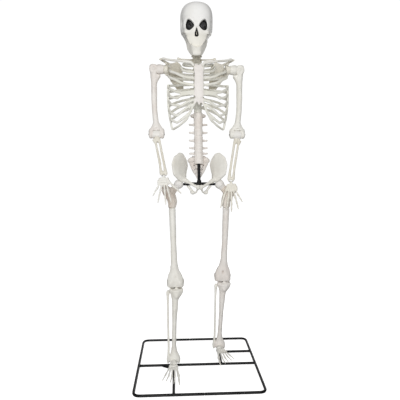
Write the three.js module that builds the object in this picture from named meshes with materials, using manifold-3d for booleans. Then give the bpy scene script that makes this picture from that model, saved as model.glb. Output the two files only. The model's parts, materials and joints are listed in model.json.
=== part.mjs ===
// Giant free-standing human skeleton: hollow moulded bones threaded over a black steel frame.
// Units are millimetres. +Z is up, the skeleton faces -Y, and its own right side is on -X.
// The origin is the middle of the base frame, on the floor.
import * as THREE from "three";
import { mergeVertices } from "three/addons/utils/BufferGeometryUtils.js";
import Module from "manifold-3d";

const wasm = await Module();
wasm.setup();

// ---------------------------------------------------------------- driving dimensions
const TUBE_R = 12.5; // 25 mm steel tube, used for the whole frame
const BASE_W = 1210; // between the centre lines of the side rails
const BASE_D = 1165; // between the centre lines of the front and back rails
const CORNER_R = 65;
const CROSS_Y = -30; // the cross bar that carries the right leg
const SIDE_BAR_Y = 245; // the short bar that carries the left leg
const GAP = 0.4; // between touching pieces
const CLEAR = 1.2; // round a pole inside a bone

const PELVIS_X = 26;
const HIP_Y = 115;
const HIP_Z = 1880;
const HIP_HALF = 212; // from the middle of the pelvis to a hip ball
const HIP_BALL_R = 48;
const POST_R = 17; // the square-ish post inside the spine
const LUMBAR_LOW = 2090;
const LUMBAR_TOP = 2615;
const THORAX_TOP = 3125;

const NECK_X = 4;
const SKULL_X = -4;
const SKULL_TOP = 3655;
const FACE_X = -10; // the face is turned a little to its right
const NOD_Y = 105;
const NOD_Z = 3290;
// Outlines of the eye and nose openings, as [out from the middle of the face, height].
const EYE_OUTLINE = [
  [76, 3456], [91, 3447], [100, 3417], [97, 3377],
  [72, 3360], [42, 3375], [24, 3399], [47, 3433],
];
const NOSE_OUTLINE = [[0, 3377], [17, 3312], [0, 3300], [-17, 3312]];
const EYE_FRONT_Y = -92; // the faces of the dark inserts that close the eye sockets
const AXLE_R = 7;
const SEAM_Y = 78; // the front and back shells of the skull meet behind the jaw
const JAW_Y = 40;
const JAW_Z = 3300; // the axle that the lower jaw swings on

const SHOULDER_X = 434; // from NECK_X to the raise pin
const SHOULDER_Y = 120;
const SHOULDER_Z = 3044;
const ELBOW_X = 412;
const ELBOW_Y = 88;
const ELBOW_Z = 2388;

// Where each leg's pole runs: socket on the base, knee, and the end of the hip bar.
const LEGS = {
  right: { ankle: [-245, CROSS_Y, 30], knee: [-229, 40, 806], hip: [-260, 103, 1800] },
  left: { ankle: [250, SIDE_BAR_Y, 30], knee: [286, 178, 826], hip: [316, 122, 1800] },
};
const WRISTS = { right: [-330, -155, 1972], left: [350, 48, 1908] };
const HAND_POSES = {
  right: { forward: 32, sideways: -2, thumb: [158, 200] }, // degrees, and the thumb's tip
  left: { forward: 4, sideways: -3, thumb: [122, 262] },
};
// How each foot stands: turned outwards in degrees, lifted, and its rise towards the toes and outwards.
const FEET = {
  right: { turned: 0, lift: 0, ahead: 0, out: 0 },
  left: { turned: 4.5, lift: 22, ahead: 0.06, out: 0.1 },
};

const BONE_MATERIAL = new THREE.MeshStandardMaterial({ color: 0xe6e2d8, roughness: 0.55 });
const STEEL_MATERIAL = new THREE.MeshStandardMaterial({ color: 0x0c0c0d, roughness: 0.4, metalness: 0.3 });
const EYE_MATERIAL = new THREE.MeshStandardMaterial({ color: 0x101010, roughness: 0.3 });
const PIN_MATERIAL = new THREE.MeshStandardMaterial({ color: 0xb9bab8, roughness: 0.35, metalness: 0.9 });

const skeleton = new THREE.Group();

// ---------------------------------------------------------------- solid helpers
const vec = (p) => (p.isVector3 ? p.clone() : new THREE.Vector3(...p));
const mix = (a, b, t) => vec(a).lerp(vec(b), t);
const radians = THREE.MathUtils.degToRad;

/** A closed three.js geometry as a manifold-3d solid. */
function solid(geometry) {
  const g = geometry.index ? geometry.toNonIndexed() : geometry.clone();
  g.deleteAttribute("normal");
  g.deleteAttribute("uv");
  const merged = mergeVertices(g, 1e-3);
  const made = new wasm.Manifold(
    new wasm.Mesh({
      numProp: 3,
      vertProperties: merged.attributes.position.array,
      triVerts: new Uint32Array(merged.index.array),
    }),
  );
  return made;
}

function join(...solids) {
  return solids.flat().reduce((a, b) => a.add(b));
}

/** Adds a solid to the skeleton as a named mesh. */
function piece(name, made, material = BONE_MATERIAL) {
  const { vertProperties, triVerts } = made.getMesh();
  const geometry = new THREE.BufferGeometry()
    .setAttribute("position", new THREE.BufferAttribute(new Float32Array(vertProperties), 3))
    .setIndex(new THREE.BufferAttribute(new Uint32Array(triVerts), 1));
  geometry.computeVertexNormals();
  const mesh = new THREE.Mesh(geometry, material);
  mesh.name = name;
  skeleton.add(mesh);
  return mesh;
}

/**
 * A bone-like body skinned over rings. Each station is [x, y, z, half width, half depth] of one ring:
 * the half width lies along `wide`, made square to the path, and the half depth across it.
 * The rings are square to the path, or to `axis`, which points the way the path goes.
 */
function bone(stations, wide = [1, 0, 0], sides = 8, axis = null) {
  const centres = stations.map((s) => new THREE.Vector3(s[0], s[1], s[2]));
  const toCorner = 1 / Math.cos(Math.PI / sides);
  const position = [];
  const index = [];
  stations.forEach((station, i) => {
    const before = centres[Math.max(i - 1, 0)];
    const after = centres[Math.min(i + 1, centres.length - 1)];
    const along = axis ? vec(axis).normalize() : after.clone().sub(before).normalize();
    const u = vec(wide);
    u.addScaledVector(along, -u.dot(along)).normalize();
    const v = along.clone().cross(u);
    const [, , , halfWidth, halfDepth = halfWidth] = station;
    for (let k = 0; k < sides; k++) {
      const angle = ((k + 0.5) / sides) * 2 * Math.PI;
      const p = centres[i].clone();
      p.addScaledVector(u, toCorner * halfWidth * Math.cos(angle));
      p.addScaledVector(v, toCorner * halfDepth * Math.sin(angle));
      position.push(p.x, p.y, p.z);
    }
  });
  for (let i = 0; i + 1 < stations.length; i++) {
    for (let k = 0; k < sides; k++) {
      const a = i * sides + k;
      const b = i * sides + ((k + 1) % sides);
      index.push(a, b, b + sides, a, b + sides, a + sides);
    }
  }
  const last = (stations.length - 1) * sides;
  for (let k = 1; k + 1 < sides; k++) {
    index.push(0, k + 1, k);
    index.push(last, last + k, last + k + 1);
  }
  const geometry = new THREE.BufferGeometry()
    .setAttribute("position", new THREE.Float32BufferAttribute(position, 3))
    .setIndex(index);
  return solid(geometry);
}

/** An ellipsoid. */
function ball(centre, radii, around = 10, up = 6) {
  const [rx, ry = rx, rz = rx] = [radii].flat();
  return solid(
    new THREE.SphereGeometry(1, around, up)
      .rotateX(Math.PI / 2)
      .scale(rx, ry, rz)
      .translate(...centre),
  );
}

/** A round rod from a to b. */
function rod(a, b, radius, sides = 12) {
  const from = vec(a);
  const span = vec(b).sub(from);
  const upright = new THREE.Vector3(0, 1, 0);
  const turn = new THREE.Quaternion().setFromUnitVectors(upright, span.clone().normalize());
  const middle = from.addScaledVector(span, 0.5);
  const geometry = new THREE.CylinderGeometry(radius, radius, span.length(), sides);
  return solid(geometry.applyQuaternion(turn).translate(middle.x, middle.y, middle.z));
}

/** The hole for a round rod: no flat of it comes nearer the axis than the radius. */
function hole(a, b, radius, sides = 8) {
  return rod(a, b, radius / Math.cos(Math.PI / sides), sides);
}

function box(low, high) {
  const size = vec(high).sub(vec(low));
  const middle = mix(low, high, 0.5);
  return solid(new THREE.BoxGeometry(size.x, size.y, size.z).translate(middle.x, middle.y, middle.z));
}

/** The point beyond b on the line from a, and the one before a. */
function stretched(a, b, before, after) {
  const along = vec(b).sub(vec(a)).normalize();
  return [vec(a).addScaledVector(along, -before), vec(b).addScaledVector(along, after)];
}

/** A bent tube through points with round corners, as stations for bone(). */
function bentTube(points, radius, cornerRadius, sides = 10, steps = 5) {
  const stations = [points[0]];
  for (let i = 1; i + 1 < points.length; i++) {
    const [before, corner, after] = [points[i - 1], points[i], points[i + 1]].map(vec);
    const start = corner.clone().add(before.sub(corner).setLength(cornerRadius));
    const end = corner.clone().add(after.sub(corner).setLength(cornerRadius));
    const bend = new THREE.QuadraticBezierCurve3(start, corner, end);
    stations.push(...bend.getPoints(steps).map((p) => p.toArray()));
  }
  stations.push(points.at(-1));
  return bone(
    stations.map((p) => [...p, radius]),
    [0, 0, 1],
    sides,
  );
}

// ---------------------------------------------------------------- steel base frame
const railX = BASE_W / 2;
const railY = BASE_D / 2;
const FRONT_JOINT_X = 40; // where the two halves of the rail meet, front and back
const BACK_JOINT_X = -60;

function railHalf(side, frontJoint, backJoint) {
  return bentTube(
    [
      [frontJoint, -railY, TUBE_R],
      [side * railX, -railY, TUBE_R],
      [side * railX, railY, TUBE_R],
      [backJoint, railY, TUBE_R],
    ],
    TUBE_R,
    CORNER_R,
  );
}

/** A bar whose ends are coped to sit against the tubes they meet. */
function barBetween(a, b, ...tubes) {
  const bar = bone([[...a, TUBE_R], [...b, TUBE_R]], [0, 0, 1], 10);
  return tubes.reduce((left, [from, to]) => left.subtract(rod(from, to, TUBE_R + 1, 16)), bar);
}

const atFloor = (x, y) => [x, y, TUBE_R];
const sideRail = (side) => [atFloor(side * railX, -railY), atFloor(side * railX, railY)];
const frontRail = [atFloor(-railX, -railY), atFloor(railX, -railY)];
const crossBar = [atFloor(-railX, CROSS_Y), atFloor(railX, CROSS_Y)];
const FRONT_BAR_X = -240;
const REAR_BAR_X = 250;
const frontBar = [atFloor(FRONT_BAR_X, -railY), atFloor(FRONT_BAR_X, CROSS_Y)];
const rearBar = [atFloor(REAR_BAR_X, CROSS_Y), atFloor(REAR_BAR_X, SIDE_BAR_Y + TUBE_R)];
const sideBar = [atFloor(REAR_BAR_X, SIDE_BAR_Y), atFloor(railX, SIDE_BAR_Y)];

function buildBase() {
  piece("base_right_rail", railHalf(-1, FRONT_JOINT_X - GAP, BACK_JOINT_X - GAP), STEEL_MATERIAL);
  piece("base_left_rail", railHalf(1, FRONT_JOINT_X + GAP, BACK_JOINT_X + GAP), STEEL_MATERIAL);
  piece("base_cross_bar", barBetween(...crossBar, sideRail(-1), sideRail(1)), STEEL_MATERIAL);
  piece("base_front_bar", barBetween(...frontBar, frontRail, crossBar), STEEL_MATERIAL);
  piece("base_rear_bar", barBetween(...rearBar, crossBar), STEEL_MATERIAL);
  piece("base_side_bar", barBetween(...sideBar, sideRail(1), rearBar), STEEL_MATERIAL);
  const brace = [atFloor(-372, CROSS_Y), atFloor(FRONT_BAR_X, -110)];
  piece("base_brace", barBetween(...brace, crossBar, frontBar), STEEL_MATERIAL);
}

// ---------------------------------------------------------------- poles inside the skeleton
const SOCKET_WALL = 4;
const SOCKET_HEIGHT = 85;
const SOCKET_PLATE = 30; // half the plate's side
const plateTop = 2 * TUBE_R + GAP + SOCKET_WALL;

function buildPoles() {
  for (const [side, { ankle, knee, hip }] of Object.entries(LEGS)) {
    const [low, high] = stretched(ankle, knee, 0, -1);
    const foot = mix(ankle, knee, 0.0045);
    const socketTop = foot.clone().addScaledVector(high.clone().sub(low).normalize(), SOCKET_HEIGHT);
    const plate = box(
      [ankle[0] - SOCKET_PLATE, ankle[1] - SOCKET_PLATE, plateTop - SOCKET_WALL],
      [ankle[0] + SOCKET_PLATE, ankle[1] + SOCKET_PLATE, plateTop],
    );
    const sleeve = rod(low, socketTop, TUBE_R + CLEAR / 2 + SOCKET_WALL, 12);
    const floorCut = box([-railX, -railY, 0], [railX, railY, plateTop - SOCKET_WALL]);
    const bore = rod(mix(low, high, 0.006), stretched(low, socketTop, 0, 5)[1], TUBE_R + CLEAR / 2, 12);
    piece(`${side}_leg_socket`, join(plate, sleeve).subtract(bore).subtract(floorCut), STEEL_MATERIAL);
    piece(`${side}_lower_pole`, rod(mix(low, high, 0.0085), high, TUBE_R, 10), STEEL_MATERIAL);
    const [upperLow, upperHigh] = stretched(knee, hip, -1, -16);
    piece(`${side}_upper_pole`, rod(upperLow, upperHigh, TUBE_R, 10), STEEL_MATERIAL);
  }
  const ballOf = (side) => [PELVIS_X + side * HIP_HALF, HIP_Y, HIP_Z];
  const bar = bentTube([LEGS.right.hip, ballOf(-1), ballOf(1), LEGS.left.hip], TUBE_R, 22, 10, 4);
  const saddle = box([PELVIS_X - 88, HIP_Y - 20, HIP_Z + 4], [PELVIS_X + 88, HIP_Y + 20, HIP_Z + 20]);
  const collar = rod([PELVIS_X, HIP_Y, HIP_Z], [PELVIS_X, HIP_Y, HIP_Z + 45], POST_R + 6, 12);
  const seat = rod([PELVIS_X, HIP_Y, HIP_Z + 18], [PELVIS_X, HIP_Y, HIP_Z + 60], POST_R + GAP, 12);
  piece("hip_bar", join(bar, saddle, collar).subtract(seat), STEEL_MATERIAL);
  const postTop = [PELVIS_X - 12, HIP_Y + 5, LUMBAR_TOP - 10];
  piece("spine_post", rod([PELVIS_X, HIP_Y, HIP_Z + 19], postTop, POST_R - 1, 10), STEEL_MATERIAL);
}

// ---------------------------------------------------------------- legs
/** A bore round a pole from a to b, opening past both ends. */
function poleBore(a, b, before = 40, after = 40) {
  return hole(...stretched(a, b, before, after), TUBE_R + CLEAR);
}

const THIGH_SEAM_Z = 1636; // where the hip end plugs onto the shaft

function buildThigh(side, name) {
  const { knee, hip } = LEGS[name];
  const on = (z) => mix(knee, hip, (z - knee[2]) / (hip[2] - knee[2]));
  const ring = (z, lateral, halfWidth, halfDepth, back = 0) => {
    const p = on(z);
    return [p.x + side * lateral, p.y + back, z, halfWidth, halfDepth];
  };
  const head = [PELVIS_X + side * HIP_HALF, HIP_Y, HIP_Z];
  const pole = vec(hip).sub(vec(knee));
  const trunk = bone(
    [
      ring(THIGH_SEAM_Z + GAP, 0, 37, 37),
      ring(1700, -6, 47, 42),
      ring(1755, 12, 56, 44),
      ring(1800, 34, 60, 44),
      ring(1845, 56, 42, 34),
      ring(1878, 64, 16, 16),
    ],
    [1, 0, 0],
    8,
    pole,
  );
  const lesserTrochanter = ball([on(1700).x - side * 36, on(1700).y + 14, 1700], [20, 22, 30], 6, 4);
  const neck = bone(
    [
      [on(1785).x + side * 20, on(1785).y, 1785, 46, 34],
      [...mix([on(1800).x, on(1800).y, 1800], head, 0.45).toArray(), 33, 28],
      [...mix([on(1800).x, on(1800).y, 1800], head, 0.9).toArray(), 35, 35],
    ],
    [0, 0, 1],
    6,
  );
  const hipBarBore = hole(...stretched(hip, head, 24, 0), TUBE_R + CLEAR);
  const crossBore = hole([head[0], HIP_Y, HIP_Z], [PELVIS_X + side * 60, HIP_Y, HIP_Z], TUBE_R + CLEAR);
  const bend = ball(head, TUBE_R + CLEAR + 10, 8, 6);
  const bores = join(hipBarBore, crossBore, bend, poleBore(knee, hip, 40, 8));
  const proximal = join(trunk, lesserTrochanter, neck, ball(head, HIP_BALL_R, 10, 8)).subtract(bores);
  piece(`${name}_femur_upper`, proximal);

  const shaft = bone(
    [
      ring(knee[2] + 14, -6, 56, 42),
      ring(knee[2] + 40, -6, 64, 46),
      ring(knee[2] + 92, -6, 82, 52),
      ring(knee[2] + 135, -4, 70, 44),
      ring(knee[2] + 185, -2, 46, 37),
      ring(knee[2] + 250, 0, 35, 34, -4),
      ring(knee[2] + 460, 0, 30, 31, -10),
      ring(THIGH_SEAM_Z - GAP, 0, 34, 34),
    ],
    [1, 0, 0],
    8,
    pole,
  );
  const condyle = (lateral) => {
    const p = on(knee[2] + 58);
    return ball([p.x + side * lateral, p.y + 8, knee[2] + 58], [42, 68, 52], 8, 6);
  };
  piece(`${name}_femur_lower`, join(shaft, condyle(-50), condyle(38)).subtract(poleBore(knee, hip)));
}

/** Both shins come from one mould, so the fibula is on the -X side of each. */
function buildShin(name) {
  const { ankle, knee } = LEGS[name];
  const { lift } = FEET[name];
  const up = (height) => mix(ankle, knee, height / (knee[2] - ankle[2]));
  const ring = (height, x, halfWidth, halfDepth, y = 0) => {
    const p = up(height + lift);
    return [p.x + x, p.y + y, p.z, halfWidth, halfDepth];
  };
  const top = knee[2] - ankle[2] - 12 - lift;
  const tibiaShaft = bone([
    ring(56, 8, 50, 33),
    ring(84, 6, 46, 34),
    ring(124, 1, 32, 29),
    ring(180, 0, 24, 25),
    ring(430, 0, 24, 27, -4),
    ring(top - 105, 3, 34, 34),
    ring(top - 40, 12, 62, 50),
    ring(top - 14, 12, 72, 56),
    ring(top, 10, 64, 50),
  ]);
  const malleolus = bone([ring(6, 53, 9, 16), ring(48, 51, 14, 25), ring(90, 36, 12, 20)], [1, 0, 0], 6);
  const socketBore = hole(...stretched(ankle, up(SOCKET_HEIGHT + 14), 40, 0), TUBE_R + SOCKET_WALL + 1.5);
  const bores = join(poleBore(ankle, knee), socketBore);
  const talusSpace = ball(up(14 + lift).toArray(), [40, 72, 52], 8, 6);
  piece(`${name}_tibia`, join(tibiaShaft, malleolus).subtract(join(bores, talusSpace)));

  const fibula = bone([
    ring(5, -58, 9, 15),
    ring(46, -60, 14, 21),
    ring(92, -56, 11, 14),
    ring(170, -56, 10, 11),
    ring(top - 150, -72, 10, 11),
    ring(top - 50, -73, 14, 16, 7),
    ring(top - 14, -72, 11, 13, 8),
  ], [1, 0, 0], 6);
  piece(`${name}_fibula`, fibula.subtract(join(tibiaShaft, talusSpace).translate([-GAP, 0, 0])));
}

function buildFoot(side, name) {
  const { ankle, knee } = LEGS[name];
  const stance = FEET[name];
  const turn = radians(stance.turned) * side;
  // A point of the foot: out is towards the little toe, ahead is towards the toes.
  const at = (out, ahead, z) => {
    const x = side * out;
    return [
      ankle[0] + x * Math.cos(turn) + ahead * Math.sin(turn),
      ankle[1] + x * Math.sin(turn) - ahead * Math.cos(turn),
      z + stance.lift + stance.ahead * ahead + stance.out * out,
    ];
  };
  const across = vec(at(1, 0, 0)).sub(vec(at(0, 0, 0)));
  const talus = ball(at(0, 4, 44), [34, 62, 38], 8, 6);
  const heel = bone([
    [...at(0, 20, 52), 26, 22],
    [...at(0, -70, 47), 28, 21],
    [...at(-2, -104, 44), 17, 13],
  ], across);
  const arch = bone([
    [...at(0, 10, 52), 30, 26],
    [...at(6, 120, 53), 46, 21],
    [...at(8, 176, 48), 50, 15],
  ], across);
  const rays = [
    { base: [-36, 168, 50], head: [-52, 286, 42], tip: [-58, 424, 36], thick: 1.35 },
    { base: [-14, 172, 52], head: [-16, 300, 44], tip: [-4, 408, 36], thick: 1 },
    { base: [8, 170, 50], head: [14, 292, 42], tip: [32, 396, 35], thick: 0.95 },
    { base: [28, 164, 46], head: [46, 276, 40], tip: [74, 372, 34], thick: 0.9 },
    { base: [48, 150, 42], head: [78, 254, 38], tip: [108, 350, 34], thick: 0.9 },
  ].map(({ base, head, tip, thick }) => {
    const knuckle = mix(head, tip, 0.58);
    const run = [
      [mix(base, head, -0.15), 10],
      [mix(base, head, 0.5), 7],
      [vec(head), 10.5],
      [mix(head, tip, 0.28), 7],
      [knuckle, 9],
      [vec(tip), 5.5],
    ];
    const stations = run.map(([p, r]) => [...at(p.x, p.y, p.z), r * thick, Math.min(r * thick, 9.5)]);
    return bone(stations, across, 4);
  });
  const legBore = hole(...stretched(ankle, knee, 40, -600), TUBE_R + SOCKET_WALL + 1.5);
  const plateBore = box(
    [ankle[0] - SOCKET_PLATE - 1, ankle[1] - SOCKET_PLATE - 1, 0],
    [ankle[0] + SOCKET_PLATE + 1, ankle[1] + SOCKET_PLATE + 1, plateTop + 1],
  );
  const floorLevel = box([-railX, -railY, -20], [railX, railY, 2 * TUBE_R + GAP]);
  const made = join(talus, heel, arch, ...rays).subtract(join(legBore, plateBore, floorLevel));
  piece(`${name}_foot`, made);
}

// ---------------------------------------------------------------- pelvis
function buildHipBone(side, name) {
  const at = (x, y, z) => [PELVIS_X + side * x, y, z];
  const wing = bone(
    [
      [...at(172, 112, 1912), 42, 38],
      [...at(180, 105, 1955), 62, 31],
      [...at(198, 95, 1995), 102, 24],
      [...at(199, 98, 2080), 122, 20],
      [...at(196, 98, 2146), 100, 18],
      [...at(186, 105, 2203), 34, 11],
    ],
    [side * 0.68, -0.73, 0],
    8,
  );
  const pubicRamus = bone(
    [
      [...at(150, 92, 1925), 26, 22],
      [...at(108, 60, 1901), 16, 16],
      [...at(40, 12, 1862), 15, 13],
      [...at(-8, 4, 1848), 16, 11],
    ],
    [0, 0, 1],
    6,
  );
  const otherHalf = box(
    [PELVIS_X - (side > 0 ? 60 : GAP), -60, 1700],
    [PELVIS_X + (side > 0 ? GAP : 60), 60, 1950],
  );
  const ischium = bone(
    [
      [...at(146, 118, 1900), 26, 24],
      [...at(104, 114, 1850), 13, 15],
      [...at(60, 88, 1790), 13, 15],
      [...at(34, 54, 1798), 11, 11],
      [...at(15, 12, 1846), 10, 10],
    ],
    [1, 0, 0],
    6,
  );
  const socket = ball([PELVIS_X + side * HIP_HALF, HIP_Y, HIP_Z], HIP_BALL_R + 4, 10, 8);
  const barWay = hole(at(0, HIP_Y, HIP_Z), at(HIP_HALF, HIP_Y, HIP_Z), TUBE_R + 2);
  piece(`${name}_hip_bone`, join(wing, pubicRamus, ischium).subtract(join(socket, barWay, otherHalf)));
}

function buildSacrum() {
  const x = PELVIS_X;
  const body = bone([
    [x, 196, 1912, 11, 8],
    [x, 215, 1950, 26, 13],
    [x, 222, 2010, 64, 21],
    [x, 212, 2085, 96, 27],
    [x, 206, 2140, 104, 25],
    [x, 206, 2160, 66, 15],
  ], [1, 0, 0], 8);
  const promontory = bone([[x, 162, 2040, 28, 28], [x, 154, 2084, 42, 34]], [1, 0, 0], 8);
  const postWay = hole([x, HIP_Y, HIP_Z], [x, HIP_Y, LUMBAR_LOW], POST_R + 8);
  piece("sacrum", join(body, promontory).subtract(postWay));
}

// ---------------------------------------------------------------- spine
const LUMBAR_LEVELS = [2196, 2254, 2330, 2411, 2493]; // the height of each pair of side processes
const LUMBAR_Y = 128;
const lumbarX = (z) => PELVIS_X - ((z - HIP_Z) / (LUMBAR_TOP - HIP_Z)) * 10;

function buildLumbar() {
  const column = [[lumbarX(LUMBAR_LOW), LUMBAR_Y + 2, LUMBAR_LOW, 47, 43]];
  LUMBAR_LEVELS.forEach((z) => {
    column.push([lumbarX(z), LUMBAR_Y, z, 41, 39]);
    column.push([lumbarX(z + 34), LUMBAR_Y, z + 34, 46, 43]);
  });
  column.push([lumbarX(LUMBAR_TOP), LUMBAR_Y, LUMBAR_TOP, 45, 42]);
  const processes = LUMBAR_LEVELS.flatMap((z) => [
    ...[-1, 1].map((side) =>
      bone([
        [lumbarX(z) + side * 30, LUMBAR_Y + 24, z - 2, 10, 12],
        [lumbarX(z) + side * 91, LUMBAR_Y + 32, z + 2, 7, 8],
      ], [0, 1, 0], 5),
    ),
    bone([
      [lumbarX(z), LUMBAR_Y + 30, z, 20, 8],
      [lumbarX(z), LUMBAR_Y + 96, z - 14, 16, 6],
    ], [0, 0, 1], 4),
  ]);
  const collar = [-1, 1].map((side) =>
    bone([
      [lumbarX(LUMBAR_TOP) + side * 30, LUMBAR_Y + 14, LUMBAR_TOP - 30, 20, 22],
      [lumbarX(LUMBAR_TOP) + side * 74, LUMBAR_Y + 18, LUMBAR_TOP - 34, 14, 14],
    ], [0, 1, 0], 5),
  );
  const postTop = [PELVIS_X - 12, HIP_Y + 5, LUMBAR_TOP - 10];
  const bore = hole(...stretched([PELVIS_X, HIP_Y, HIP_Z], postTop, 0, 3), POST_R);
  piece("lumbar_spine", join(bone(column, [1, 0, 0], 8, [0, 0, 1]), processes, collar).subtract(bore));
}

const thoraxX = 11;
/** The thoracic column's middle at a height: it bows backwards. */
function thoracicY(z) {
  const t = (z - LUMBAR_TOP) / (THORAX_TOP - LUMBAR_TOP);
  return 134 + 62 * Math.sin(Math.PI * Math.min(t, 1) * 0.62);
}

// Each rib of the back, from the top: its height at the spine and at the side, and its half width.
const BACK_RIBS = [
  { spine: 3108, side: 3078, halfWidth: 150 },
  { spine: 3060, side: 3052, halfWidth: 172 },
  { spine: 3012, side: 3020, halfWidth: 288 },
  { spine: 2964, side: 2964, halfWidth: 298 },
  { spine: 2916, side: 2866, halfWidth: 300 },
  { spine: 2868, side: 2800, halfWidth: 302 },
  { spine: 2820, side: 2726, halfWidth: 302 },
  { spine: 2772, side: 2650, halfWidth: 297 },
  { spine: 2724, side: 2574, halfWidth: 288 },
  { spine: 2676, side: 2500, halfWidth: 274 },
];
// Each rib of the front as points [out from the middle, height], from the breastbone to the side.
// The true ribs drop towards the breastbone; the false ribs drop, then climb along the cartilage.
const FRONT_RIBS = [
  { tipY: -66, path: [[28, 3032], [92, 3050], [136, 3070], [150, 3078]] },
  { tipY: -86, path: [[28, 2972], [142, 2996], [168, 3038], [172, 3052]] },
  { tipY: -100, path: [[28, 2908], [145, 2930], [228, 2974], [288, 3020]] },
  { tipY: -110, path: [[28, 2844], [154, 2866], [242, 2914], [298, 2964]] },
  { tipY: -116, path: [[28, 2792], [154, 2776], [236, 2796], [300, 2866]] },
  { tipY: -120, path: [[28, 2756], [146, 2762], [226, 2724], [302, 2800]] },
  { tipY: -120, path: [[16, 2708], [84, 2697], [200, 2644], [302, 2726]] },
  { tipY: -117, path: [[66, 2664], [150, 2606], [226, 2556], [297, 2650]] },
  { tipY: -104, path: [[88, 2584], [158, 2528], [226, 2492], [288, 2574]] },
];
// The rim of the lowest cartilages: [out, y, height] from the breastbone's foot to the side.
const COSTAL_RIM = [
  [16, -120, 2712], [50, -114, 2660], [78, -102, 2596],
  [124, -78, 2514], [192, -24, 2464], [254, 44, 2434],
];
const FIRST_TIED_RIB = 4; // from this rib down, a strip ties the rib ends together at the side
const STRIP_FOOT = [258, 2432]; // out, height
const SIDE_Y = 50; // where the front and back mouldings of the cage meet
const RIB_WIDE = 11;
const RIB_THICK = 7;

/** A rib on an oval plan: it leaves the middle at tipY and turns back along Y at the side. */
function rib(side, tipY, path) {
  const halfWidth = path.at(-1)[0];
  const overrun = tipY < SIDE_Y ? 8 : -8;
  const angles = new THREE.SplineCurve(
    path.map(([out, z]) => new THREE.Vector2(100 * Math.asin(out / halfWidth), z)),
  );
  const stations = angles.getPoints(5).map(({ x: angle, y: z }, i) => {
    const out = halfWidth * Math.sin(angle / 100);
    const y = SIDE_Y + (tipY - SIDE_Y) * Math.cos(angle / 100) + (i === 5 ? overrun : 0);
    return [thoraxX + side * out, y, z, RIB_WIDE, RIB_THICK];
  });
  return bone(stations, [0, 0, 1], 4);
}

function sideStrip(side, y) {
  const rows = BACK_RIBS.slice(FIRST_TIED_RIB).map((r) => [r.halfWidth - 1, r.side]);
  rows[0][1] += 12;
  rows.push(STRIP_FOOT);
  const stations = rows.map(([out, z]) => [thoraxX + side * out, y, z, 8.5, 9.5]);
  return bone(stations, [0, 1, 0], 4, [0, 0, -1]);
}

function buildRibCage() {
  const middle = thoraxX + 3;
  const sternum = bone([
    [middle, -116, 2656, 8, 5],
    [middle, -121, 2700, 20, 8],
    [middle, -124, 2742, 44, 11],
    [middle, -118, 2860, 44, 12],
    [middle, -104, 2956, 42, 12],
    [middle, -80, 3034, 56, 12],
    [middle, -73, 3054, 38, 9],
  ], [1, 0, 0], 8);
  const front = [sternum];
  const back = [];
  for (const side of [-1, 1]) {
    FRONT_RIBS.forEach(({ tipY, path }) => front.push(rib(side, tipY, path)));
    BACK_RIBS.forEach(({ spine, side: sideZ, halfWidth }) => {
      const slope = [[24, spine], [0.6 * halfWidth, spine + 0.3 * (sideZ - spine)], [halfWidth, sideZ]];
      back.push(rib(side, thoracicY(spine) + 24, slope));
    });
    const rim = COSTAL_RIM.map(([out, y, z]) => [thoraxX + side * out, y, z, 10, 7]);
    front.push(bone(rim, [1, 0, 0], 4));
    front.push(sideStrip(side, SIDE_Y - 6));
    back.push(sideStrip(side, SIDE_Y + 6));
  }
  const split = (y0, y1) => box([-500, y0, 2300], [500, y1, 3300]);
  piece("rib_cage_front", join(front).subtract(split(SIDE_Y - GAP, 600)));

  const column = [];
  for (let i = 0; i <= 6; i++) {
    const z = LUMBAR_TOP + GAP + (i / 6) * (THORAX_TOP - LUMBAR_TOP);
    column.push([thoraxX + 4 - i * 1.5, thoracicY(z), z, 38 - i * 0.8, 36 - i * 0.6]);
  }
  const spines = BACK_RIBS.map(({ spine }) =>
    bone([
      [thoraxX, thoracicY(spine) + 20, spine, 14, 9],
      [thoraxX, thoracicY(spine) + 76, spine - 32, 9, 6],
    ], [0, 0, 1], 4),
  );
  const backbone = bone(column, [1, 0, 0], 8, [0, 0, 1]);
  piece("rib_cage_back", join(back, backbone, spines).subtract(split(-600, SIDE_Y + GAP)));
}

// ---------------------------------------------------------------- shoulder girdle
function buildShoulderGirdle(side, name) {
  const at = (x, y, z) => [NECK_X + side * x, y, z];
  const blade = bone(
    [
      [...at(142, 276, 2826), 14, 6],
      [...at(166, 270, 2880), 46, 7],
      [...at(208, 244, 2985), 88, 7],
      [...at(226, 232, 3035), 106, 8],
      [...at(206, 246, 3085), 86, 7],
      [...at(178, 262, 3142), 36, 6],
    ],
    [side * 0.83, -0.56, 0],
    6,
  );
  const ridge = (room) =>
    bone(
      [
        [...at(150, 282, 3062), 12, 12],
        [...at(290, 204, 3122), 15 + room, 11 + room],
        [...at(350, 150, 3142), 17 + room, 11 + room],
        [...at(364, 86, 3138), 15 + room, 9 + room],
      ],
      [0, 1, 0],
      6,
    );
  const glenoid = rod(at(296, SHOULDER_Y, SHOULDER_Z), at(336, SHOULDER_Y, SHOULDER_Z), 42, 12);
  const glenoidNeck = bone(
    [[...at(286, 200, 3030), 44, 14], [...at(300, 150, 3030), 46, 20], [...at(318, 122, 3030), 40, 16]],
    [0, 0, 1],
    8,
  );
  const coracoid = bone(
    [[...at(300, 140, 3062), 14, 14], [...at(296, 92, 3092), 11, 11], [...at(318, 60, 3088), 10, 10]],
    [1, 0, 0],
    5,
  );
  piece(`${name}_scapula`, join(blade, ridge(0), glenoid, glenoidNeck, coracoid));

  const clavicle = bone(
    [
      [...at(58, -90, 3062), 16, 14],
      [...at(104, -96, 3067), 11, 10],
      [...at(185, -76, 3081), 10, 9],
      [...at(270, -8, 3105), 10, 9],
      [...at(344, 48, 3132), 15, 8],
    ],
    [0, 1, 0],
    6,
  );
  piece(`${name}_clavicle`, clavicle.subtract(ridge(1)));
}

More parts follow.
